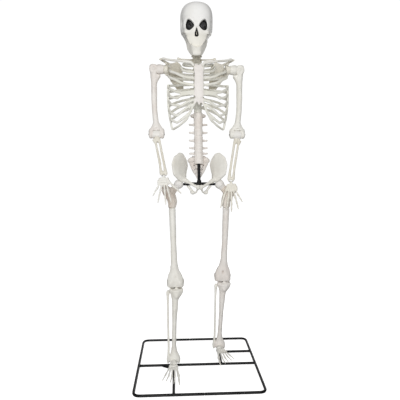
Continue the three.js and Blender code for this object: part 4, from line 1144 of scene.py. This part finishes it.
HIP_MIDDLE = (0.026, 0.115, 1.880)  # half way between the two hip joints
HIP_OUT = 212  # from there to the middle of each ball


def build_hip_bones():
    for name, side in SIDES:
        node = f"{name}_hip_bone"
        clay = Clay.of_node(node, step=0.0035, room=0.006)
        clay.soften(5, 0.0018)
        here = Local(HIP_MIDDLE, side)
        clay.add(here.blob((14, -102, -28), (17, 16, 26)), 0.012)
        clay.add(here.blob((70, -24, -86), (22, 20, 17)), 0.014)
        clay.uneven(0.0007, 0.10)
        clay.soften(1)
        clay.carve(here.blob((HIP_OUT, 0, 0), (51, 51, 51)))
        clay.carve(here.rod(-20, 230, 15))
        clay.keep_below(X, HIP_MIDDLE[X] + side * 0.0004, -side)
        place(clay, node, "plain")


# ---------------------------------------------------------------- legs

def build_thigh(name, side):
    node = f"{name}_femur_lower"
    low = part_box(node)[0]
    clay = Clay.of_node(node, step=0.0035, room=0.004)
    clay.soften(3, 0.0012)
    knee = at_level(node, low.z + 0.05, side)
    # Rounded condyles with the groove of the kneecap between them, and a notch behind.
    clay.add(knee.blob((-44, 4, -2), (40, 62, 46), square=(2.6, 3.0)), 0.010)
    clay.add(knee.blob((42, 2, -2), (40, 60, 46), square=(2.6, 3.0)), 0.010)
    clay.carve(knee.limb([(0, -70, -40, 14, 12), (-2, -72, 20, 15, 12), (-2, -58, 70, 10, 8)]), 0.018)
    clay.carve(knee.limb([(0, 70, -40, 17, 30), (0, 66, 10, 15, 22)]), 0.012)
    for out in (-58, 58):
        clay.add(knee.blob((out, 2, -24), (28, 50, 24), square=(3, 3)), 0.008)
    clay.add(knee.blob((-78, 6, 14), (12, 20, 20)), 0.016)
    clay.add(knee.blob((76, 6, 14), (12, 20, 20)), 0.016)
    # A low ridge down the back of the shaft.
    shaft = at_level(node, low.z + 0.45, side)
    clay.add(shaft.limb([(2, 28, -230, 6, 6), (0, 33, 0, 6, 6), (2, 32, 240, 6, 6)]), 0.016)
    clay.uneven(0.0010, 0.09)
    clay.soften(1)
    pole = bore_of(f"{name}_upper_pole", 14)
    clay.carve(pole)
    place(clay, node, "pink" if name == "left" else "plain")

    node = f"{name}_femur_upper"
    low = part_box(node)[0]
    clay = Clay.of_node(node, step=0.0035, room=0.006)
    clay.soften(3, 0.0012)
    # The trochanter, the ball, the ridge between them, and the hollow behind.
    top = at_level(node, low.z + 0.17, side)
    clay.add(top.blob((36, 8, -4), (30, 34, 46)), 0.016)
    hip = Local(HIP_MIDDLE, side)
    clay.add(hip.blob((HIP_OUT, 0, 0), (47.5, 47.5, 47.5)), 0.004)
    clay.add(top.limb([(30, -34, 20, 9, 8), (4, -40, -20, 8, 7), (-26, -34, -62, 8, 7)]), 0.014)
    clay.carve(top.blob((4, 44, 6), (26, 20, 34)), 0.014)
    clay.add(top.blob((-34, 18, -96), (18, 20, 26)), 0.014)
    clay.uneven(0.0018, 0.045)
    clay.soften(1)
    clay.carve(pole)
    ball = hip.at((HIP_OUT, 0, 0))
    place(clay, node, "brown", tint=lambda p: (0.066 - np.linalg.norm(p - ball, axis=1)) / 0.014)


def bore_of(node, radius):
    """The way of a pole through a bone, a little longer than the pole."""
    start, end = line_of(node)
    along = (end - start) / np.linalg.norm(end - start)
    a, b = start - along * 0.2, end + along * 0.02
    return Limb([[*a, radius * MM, radius * MM], [*b, radius * MM, radius * MM]], ACROSS, 1)


def build_shin(name):
    node = f"{name}_tibia"
    low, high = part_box(node)
    clay = Clay.of_node(node, step=0.0035, room=0.004)
    clay.soften(3, 0.0012)
    # A plateau with two shallow dishes, and the bump under it where the kneecap's cord would be.
    top = at_level(node, high.z - 0.02)
    clay.add(top.limb([(-38, 2, 0, 34, 44), (34, 2, 0, 36, 46)], BACK), 0.012)
    clay.carve(top.blob((-36, 0, 34), (27, 36, 20)), 0.008)
    clay.carve(top.blob((38, 0, 34), (27, 36, 20)), 0.008)
    clay.add(top.blob((0, -44, -48), (18, 15, 26)), 0.016)
    start, end = line_of(f"{name}_lower_pole")
    level = low.z + 0.040
    x, y = (start + (end - start) * ((level - start[2]) / (end[2] - start[2])))[:2]
    # The block over the ankle, and its two knobs beside the foot.
    ankle = Local((x, y, level))
    clay.add(ankle.blob((-3, 2, 10), (57, 38, 34), square=(3.0, 3.4)), 0.020)
    clay.add(ankle.limb([(-50, 4, 14, 16, 22), (-54, 4, -22, 14, 20)]), 0.012)
    clay.add(ankle.limb([(46, 4, 14, 15, 24), (48, 6, -28, 14, 24)]), 0.012)
    # The sharp front edge of the shaft.
    for rise in (0.62, 0.42, 0.24):
        level = low.z + rise * (high.z - low.z)
        x, y, _, half_depth = section(node, level)
        here = Local((x, y, level))
        front = -half_depth / MM
        clay.add(here.limb([
            (0, front + 4, -75, 7, 8), (0, front + 2, 0, 7, 8), (0, front + 4, 75, 7, 8),
        ]), 0.016)
    clay.uneven(0.0008, 0.09)
    clay.soften(1)
    clay.carve(bore_of(f"{name}_lower_pole", 14))
    place(clay, node, "pink" if name == "left" else "plain")

    node = f"{name}_fibula"
    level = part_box(node)[1].z - 0.03
    clay = Clay.of_node(node, step=0.003, room=0.004)
    clay.soften(2, 0.0014)
    clay.add(at_level(node, level).blob((0, 0, 2), (16, 18, 24)), 0.010)
    place(clay, node, "plain")


# Each foot: turned outwards in degrees, lifted, and its rise towards the toes and outwards.
STANCE = {"right": (0, 0, 0.0, 0.0), "left": (4.5, 22, 0.06, 0.10)}
# Rays of the foot as base, knuckle and tip, each [out, ahead, height], and thickness.
TOES = (
    ((-32, 150, 54), (-50, 276, 44), (-58, 424, 34), 1.30),
    ((-12, 160, 58), (-15, 292, 44), (-4, 408, 34), 0.92),
    ((9, 158, 56), (14, 286, 43), (32, 396, 33), 0.90),
    ((29, 150, 51), (46, 270, 41), (74, 372, 32), 0.88),
    ((46, 132, 45), (78, 248, 39), (108, 350, 32), 0.90),
)


# Stations of the first bone of each ray: share of the way to the knuckle, and radius.
SOLE_BONE = ((0.0, 12), (0.22, 8.5), (0.6, 7.2), (0.9, 9.5), (1.0, 10))


def build_foot(name, side):
    node = f"{name}_foot"
    turned, lift, rise_ahead, rise_out = STANCE[name]
    start, end = line_of(f"{name}_lower_pole")
    ground = start + (end - start) * ((0.030 - start[2]) / (end[2] - start[2]))
    turn = math.radians(turned)
    out_way = np.array([side * math.cos(turn), math.sin(turn), rise_out])
    ahead_way = np.array([side * math.sin(turn), -math.cos(turn), rise_ahead])
    foot = Local((ground[0], ground[1], lift * MM), 1, [out_way, ahead_way, UP])
    low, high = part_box(node)
    clay = Clay(low - Vector((0.01, 0.01, 0.0)), high + Vector((0.01, 0.01, 0.014)), 0.0028)
    # The ankle bone and the heel, then a row of small bones, then the rays.
    clay.add(foot.blob((0, 2, 56), (36, 50, 36)))
    clay.add(foot.limb([(0, 14, 66, 27, 22), (-6, 54, 66, 24, 20), (-10, 78, 62, 26, 19)]), 0.010)
    clay.add(foot.limb([
        (2, 30, 50, 26, 20), (2, -40, 48, 25, 21), (0, -84, 46, 27, 24), (-2, -98, 46, 22, 22),
    ]), 0.012)
    clay.add(foot.blob((20, 58, 50), (20, 32, 20)), 0.006)
    for out, ahead, wide in ((-28, 112, 17), (-9, 116, 13), (9, 116, 13), (30, 108, 18)):
        clay.add(foot.blob((out, ahead, 57 - abs(out) * 0.12), (wide, 24, 16)), 0.005)
    for base, knuckle, tip, thick in TOES:
        base, knuckle, tip = (np.array(p, float) for p in (base, knuckle, tip))
        joints = 2 if thick > 1.2 else 3
        clay.add(foot.limb([
            (*(base + (knuckle - base) * t), r * thick, r * thick * 0.95) for t, r in SOLE_BONE
        ], ACROSS, 3), 0.004)
        cuts = np.linspace(0.0, 1.0, joints + 1)
        for i in range(joints):
            a = knuckle + (tip - knuckle) * (cuts[i] + 0.045)
            b = knuckle + (tip - knuckle) * (cuts[i + 1] - 0.035)
            r = (8.6, 7.2, 6.4)[i] * thick
            end = 0.8 if i == joints - 1 else 0.95
            clay.add(foot.limb([
                (*a, r * 1.12, r), (*(a + (b - a) * 0.5), r * 0.72, r * 0.72), (*b, r * end, r * end),
            ], ACROSS, 3), 0.0035)
    # Room for the pole's sleeve, for the plate under it and for the bars of the base.
    clay.carve(bore_of(f"{name}_lower_pole", 18.5))
    plate = Local((*ground[:2], 0.0155))
    clay.carve(plate.plate((0, 0, 0), ACROSS, BACK, oblong(31, 31), 16, 1))
    clay.keep_below(Z, 0.0256, -1)
    clay.soften(1, 0.0003)
    place(clay, node, "plain")


# ---------------------------------------------------------------- arms

def build_upper_arm(name, side):
    shoulder = Local(JOINTS[f"{name}_arm_raise"], side)
    elbow = Local(JOINTS[f"{name}_elbow_bend"], side)
    tint = "pink" if name == "right" else "plain"
    node = f"{name}_humerus"
    clay = Clay.of_node(node, step=0.003, room=0.008)
    clay.soften(3, 0.0012)
    # The head: two tubercles with a groove between them, over the ends of the pin.
    clay.add(shoulder.blob((18, -26, -6), (26, 18, 44)), 0.014)
    clay.add(shoulder.blob((-18, -30, -8), (22, 15, 38)), 0.012)
    clay.add(shoulder.blob((4, 30, 0), (38, 16, 42)), 0.012)
    clay.add(shoulder.blob((10, 0, 14), (38, 40, 36), square=(2.4, 3.0)), 0.008)
    # A web of bone runs from the shaft to just under the knuckle.
    clay.add(shoulder.limb([(-4, 0, -130, 20, 20), (-24, 0, -94, 22, 24), (-46, 0, -66, 20, 28)]), 0.018)
    clay.carve(shoulder.rod(-26, -110, 53.5, flat=True), 0.003)
    clay.add(shoulder.blob((0, -42, 0), (17, 12, 17)), 0.006)
    clay.carve(shoulder.limb([(2, -50, -34, 3, 5), (2, -42, -80, 3, 5)]), 0.008)
    # The elbow: a spool across the joint, with bumps on both sides and a hollow above it.
    for out in (-58, 58):
        clay.add(elbow.blob((out, 0, 2), (22, 42, 42), square=(2.6, 2.2)), 0.008)
        clay.add(elbow.blob((out * 1.16, 4, 34), (11, 16, 24)), 0.016)
    clay.carve(elbow.blob((0, 44, 62), (24, 16, 22)), 0.012)
    clay.add(elbow.limb([(0, -8, 48, 34, 24), (0, -8, 84, 26, 20)]), 0.010)
    clay.carve(elbow.blob((0, -46, 54), (30, 22, 20)), 0.008)
    clay.carve(elbow.rod(-33, 33, 47, flat=True))
    for out in (-1, 1):
        clay.carve(elbow.rod(out * 78, out * 100, 13, flat=True), 0.002)
    mid = Local((JOINTS[f"{name}_arm_raise"] + JOINTS[f"{name}_elbow_bend"]) / 2, side)
    clay.add(mid.limb([(16, -14, 130, 7, 7), (24, -10, 60, 8, 8), (22, -6, -10, 6, 6)]), 0.018)
    clay.uneven(0.0010, 0.08)
    clay.soften(1)
    # The slot for the knuckle.
    clay.carve(shoulder.plate((-7.5, 0, 21), ACROSS, UP, oblong(67.5, 55), 15.5, 3))
    place(clay, node, tint)

    node = f"{name}_shoulder_knuckle"
    clay = Clay.of_node(node, step=0.003, room=0.008)
    clay.soften(2, 0.0010)
    drum = Local(JOINTS[f"{name}_shoulder_swing"], side)
    clay.add(drum.limb([
        (6, 0, 0, 45, 45), (22, 0, 0, 50, 50), (38, 0, 0, 42, 42),
    ], UP, 4, flat=True), 0.006)
    place(clay, node, tint)


def build_forearm(name, side):
    node = f"{name}_forearm"
    elbow = Local(JOINTS[f"{name}_elbow_bend"], side)
    clay = Clay.of_node(node, step=0.003, room=0.006)
    clay.soften(2, 0.0012)
    # The barrel between the two halves of the elbow.
    clay.add(elbow.limb([
        (-32, 0, 0, 43, 43), (0, 0, 0, 45.5, 45.5), (32, 0, 0, 43, 43),
    ], UP, 2, flat=True))
    clay.add(elbow.blob((-16, -4, -52), (15, 24, 22)), 0.008)
    clay.add(elbow.blob((16, -4, -52), (15, 24, 22)), 0.008)
    wrist = Local(JOINTS[f"{name}_wrist_bend"], side)
    along = (JOINTS[f"{name}_elbow_bend"] - JOINTS[f"{name}_wrist_bend"]) / MM * np.array([side, 1, 1])
    # The gap between the two bones runs down to the wrist.
    gap = [(*(along * t), w, 30) for t, w in ((0.10, 3), (0.14, 6), (0.20, 8), (0.26, 8))]
    clay.carve(wrist.limb(gap, ACROSS, 4), 0.004)
    clay.uneven(0.0006, 0.06)
    clay.soften(1)
    axis = JOINTS[f"{name}_elbow_bend"]

    def near_pin(points):
        away = np.hypot(points[:, Y] - axis[Y], points[:, Z] - axis[Z])
        return (0.052 - away) / 0.006

    place(clay, node, "cream", tint=near_pin)


# How each hand hangs: forward and sideways in degrees, and the thumb's tip.
HANDS = {"right": (32, -2, (158, 200)), "left": (4, -3, (122, 262))}
# Fingers as base, knuckle and tip, [towards the thumb, down from the wrist], and thickness.
FINGERS = (
    ((-40, 82), (-66, 140), (-108, 216), 0.85),
    ((-20, 88), (-34, 160), (-62, 288), 0.95),
    ((2, 90), (4, 168), (12, 310), 1.0),
    ((24, 86), (36, 162), (62, 290), 1.0),
)
# Wrist bones as [towards the thumb, down from the wrist, size].
CARPALS = (
    (-36, 37, 14), (-13, 35, 14), (11, 35, 14), (34, 37, 14),
    (-47, 61, 16), (-19, 59, 16), (9, 59, 16), (37, 61, 16),
    (-50, 84, 13), (-24, 87, 14), (2, 88, 14), (28, 86, 14), (51, 78, 13),
)


# How far each joint of a finger stands in front of the hand, from the knuckle to the tip.
FINGER_BEND = (5, 8, 3, -6)
# Stations of a bone of the palm: share of the way to the knuckle, radius, place to the front.
PALM_BONE = ((0.0, 13, 0), (0.25, 9.5, 2), (0.6, 8.2, 3), (0.88, 11, 4), (1.0, 12, 4))


def station(place_in_hand, front, width, depth):
    """A limb's station from a place [towards the thumb, down from the wrist]."""
    return (place_in_hand[0], front, place_in_hand[1], width, depth)


def build_hand(name, side):
    node = f"{name}_hand"
    forward, sideways, thumb_tip = HANDS[name]
    f, s = math.radians(forward), math.radians(sideways)
    around_x = np.array([[1, 0, 0], [0, math.cos(f), math.sin(f)], [0, -math.sin(f), math.cos(f)]])
    around_y = np.array([[math.cos(s), 0, math.sin(s)], [0, 1, 0], [-math.sin(s), 0, math.cos(s)]])
    turn = around_x @ around_y
    # Ways of the hand: towards the thumb, towards the front, and down.
    ways = [turn @ np.array(v, float) for v in ((-side, 0, 0), (0, -1, 0), (0, 0, -1))]
    hand = Local(JOINTS[f"{name}_wrist_bend"], 1, ways)
    low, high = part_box(node)
    clay = Clay(low - Vector((0.012,) * 3), high + Vector((0.008,) * 3), 0.0025)
    # The tongue that turns on the wrist pin.
    clay.add(hand.limb([(0, 0, 2, 12.5, 17), (0, 0, 20, 12.5, 15), (1, 1, 40, 17, 12)]), 0.002)
    for thumb, down, size in CARPALS:
        clay.add(hand.blob((thumb, 0, down), (size + 1, 13, size + 1), square=(2.6, 2.6)), 0.007)
    thumb_knuckle = (44 + 0.3 * thumb_tip[0], 56 + 0.33 * thumb_tip[1])
    rays = [*FINGERS, ((42, 60), thumb_knuckle, thumb_tip, 1.08)]
    for base, knuckle, tip, thick in rays:
        base, knuckle, tip = (np.array(p, float) for p in (base, knuckle, tip))
        bones = 2 if thick > 1.05 else 3
        clay.add(hand.limb([
            station(base + (knuckle - base) * t, front, r * thick, r * thick)
            for t, r, front in PALM_BONE
        ], ACROSS, 3), 0.004)
        cuts = (0, 0.44, 0.74, 1.0) if bones == 3 else (0, 0.55, 1.0)
        for i in range(bones):
            a = knuckle + (tip - knuckle) * (cuts[i] + 0.04)
            b = knuckle + (tip - knuckle) * (cuts[i + 1] - 0.03)
            r = (10.2, 8.8, 7.6)[i] * thick
            bend, after = FINGER_BEND[i : i + 2]
            end = 0.72 if i == bones - 1 else 0.92
            clay.add(hand.limb([
                station(a, bend, r * 1.1, r),
                station((a + b) / 2, (bend + after) / 2, r * 0.72, r * 0.72),
                station(b, after, r * end, r * end),
            ], ACROSS, 3), 0.003)
    clay.carve(hand.rod(-60, 60, 4.6))
    clay.soften(1, 0.0003)
    place(clay, node, "cream" if name == "left" else "plain")


# ---------------------------------------------------------------- steel

TUBE = 12.5  # the radius of the base's tube
BASE_FOOT, BASE_TOP = 0.0004, 0.0262  # metres: the welds are cut off below and above these
RAIL_WELD = 0.590  # metres: how far out the cross bars meet the side rails
BESIDE = 0.016  # metres: from the middle of one bar to the weld beside it
SOCKET_WELD = 0.033  # metres: the level at which each socket is welded to its plate
WELD_STEPS = 18
ASKEW = (0.3, 0.5, 0.8)  # a direction that no part of a weld runs along


def weld(clay, centre, first, second, radius, bead=3.2):
    """A rounded bead of weld round a tube; first and second span the ring's plane."""
    centre, first, second = (np.array(v, float) for v in (centre, first, second))
    angles = [2 * math.pi * i / WELD_STEPS for i in range(WELD_STEPS + 1)]
    ring = [centre + radius * MM * (first * math.cos(a) + second * math.sin(a)) for a in angles]
    for i in range(WELD_STEPS):
        size = (bead + 0.5 * math.sin(2.6 * i)) * MM
        clay.add(Limb([[*ring[i], size, size], [*ring[i + 1], size, size]], ASKEW, 1), 0.0015)


def build_base():
    # Rings of weld on each bar as [x, y, the level way across the bar], in metres.
    cross_y, front_x, rear_x, side_y = (middle(f"base_{n}")[k] for n, k in (
        ("cross_bar", 1), ("front_bar", 0), ("rear_bar", 0), ("side_bar", 1)))
    beads = {
        "base_cross_bar": [(-RAIL_WELD, cross_y, BACK), (RAIL_WELD, cross_y, BACK)],
        "base_front_bar": [(front_x, -0.567, ACROSS), (front_x, cross_y - BESIDE, ACROSS)],
        "base_rear_bar": [(rear_x, cross_y + BESIDE, ACROSS)],
        "base_side_bar": [(rear_x + BESIDE, side_y, BACK), (RAIL_WELD, side_y, BACK)],
        "base_brace": [],
        "base_left_rail": [],
        "base_right_rail": [],
    }
    for node, places in beads.items():
        clay = Clay.of_node(node, step=0.0025)
        clay.soften(1, 0.0002)
        for x, y, across in places:
            weld(clay, (x, y, TUBE * MM), across, UP, TUBE - 0.6)
        clay.keep_below(Z, BASE_FOOT, -1)
        clay.keep_below(Z, BASE_TOP)
        place(clay, node, "black")


def build_posts():
    for node in [n for n in NODES if n.endswith("_pole")] + ["spine_post"]:
        clay = Clay.of_node(node, step=0.0025)
        clay.soften(1, 0.0002)
        place(clay, node, "black")
    for name, side in SIDES:
        node = f"{name}_leg_socket"
        clay = Clay.of_node(node, step=0.002)
        clay.soften(1, 0.0002)
        x, y, _ = middle(node)
        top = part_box(node)[1].z
        weld(clay, (x, y, SOCKET_WELD), ACROSS, BACK, 17.5, 2.6)
        screw = Local((x, y, top - 0.018), side)
        clay.add(screw.limb([(0, -15, 0, 4.5, 4.5), (0, -20, 0, 4.5, 4.5)], ACROSS, 1))
        place(clay, node, "black")
    clay = Clay.of_node("hip_bar", step=0.0025)
    clay.soften(1, 0.0002)
    post = (*section("hip_bar", 1.915)[:2], 1.903)
    weld(clay, post, ACROSS, BACK, 21, 3)
    place(clay, "hip_bar", "black")


def finish_steel():
    for node in NODES:
        if node.endswith("_pin") or node.endswith("axle"):
            materials = NODES[node].data.materials
            materials.clear()
            materials.append(MATERIALS["steel"])


def build_swivel():
    clay = Clay.of_node("neck_swivel", step=0.0025, room=0.003)
    clay.soften(1, 0.0004)
    place(clay, "neck_swivel", "plain")


make_camera()
make_floor()
make_light()
finish_steel()
build_base()
build_posts()
build_skull()
build_eyes()
build_nose_lining()
build_mandible()
build_swivel()
build_neck()
build_ribs()
build_lumbar()
build_sacrum()
build_shoulder_blades()
build_hip_bones()
for name, side in SIDES:
    build_thigh(name, side)
    build_shin(name)
    build_foot(name, side)
    build_upper_arm(name, side)
    build_forearm(name, side)
    build_hand(name, side)
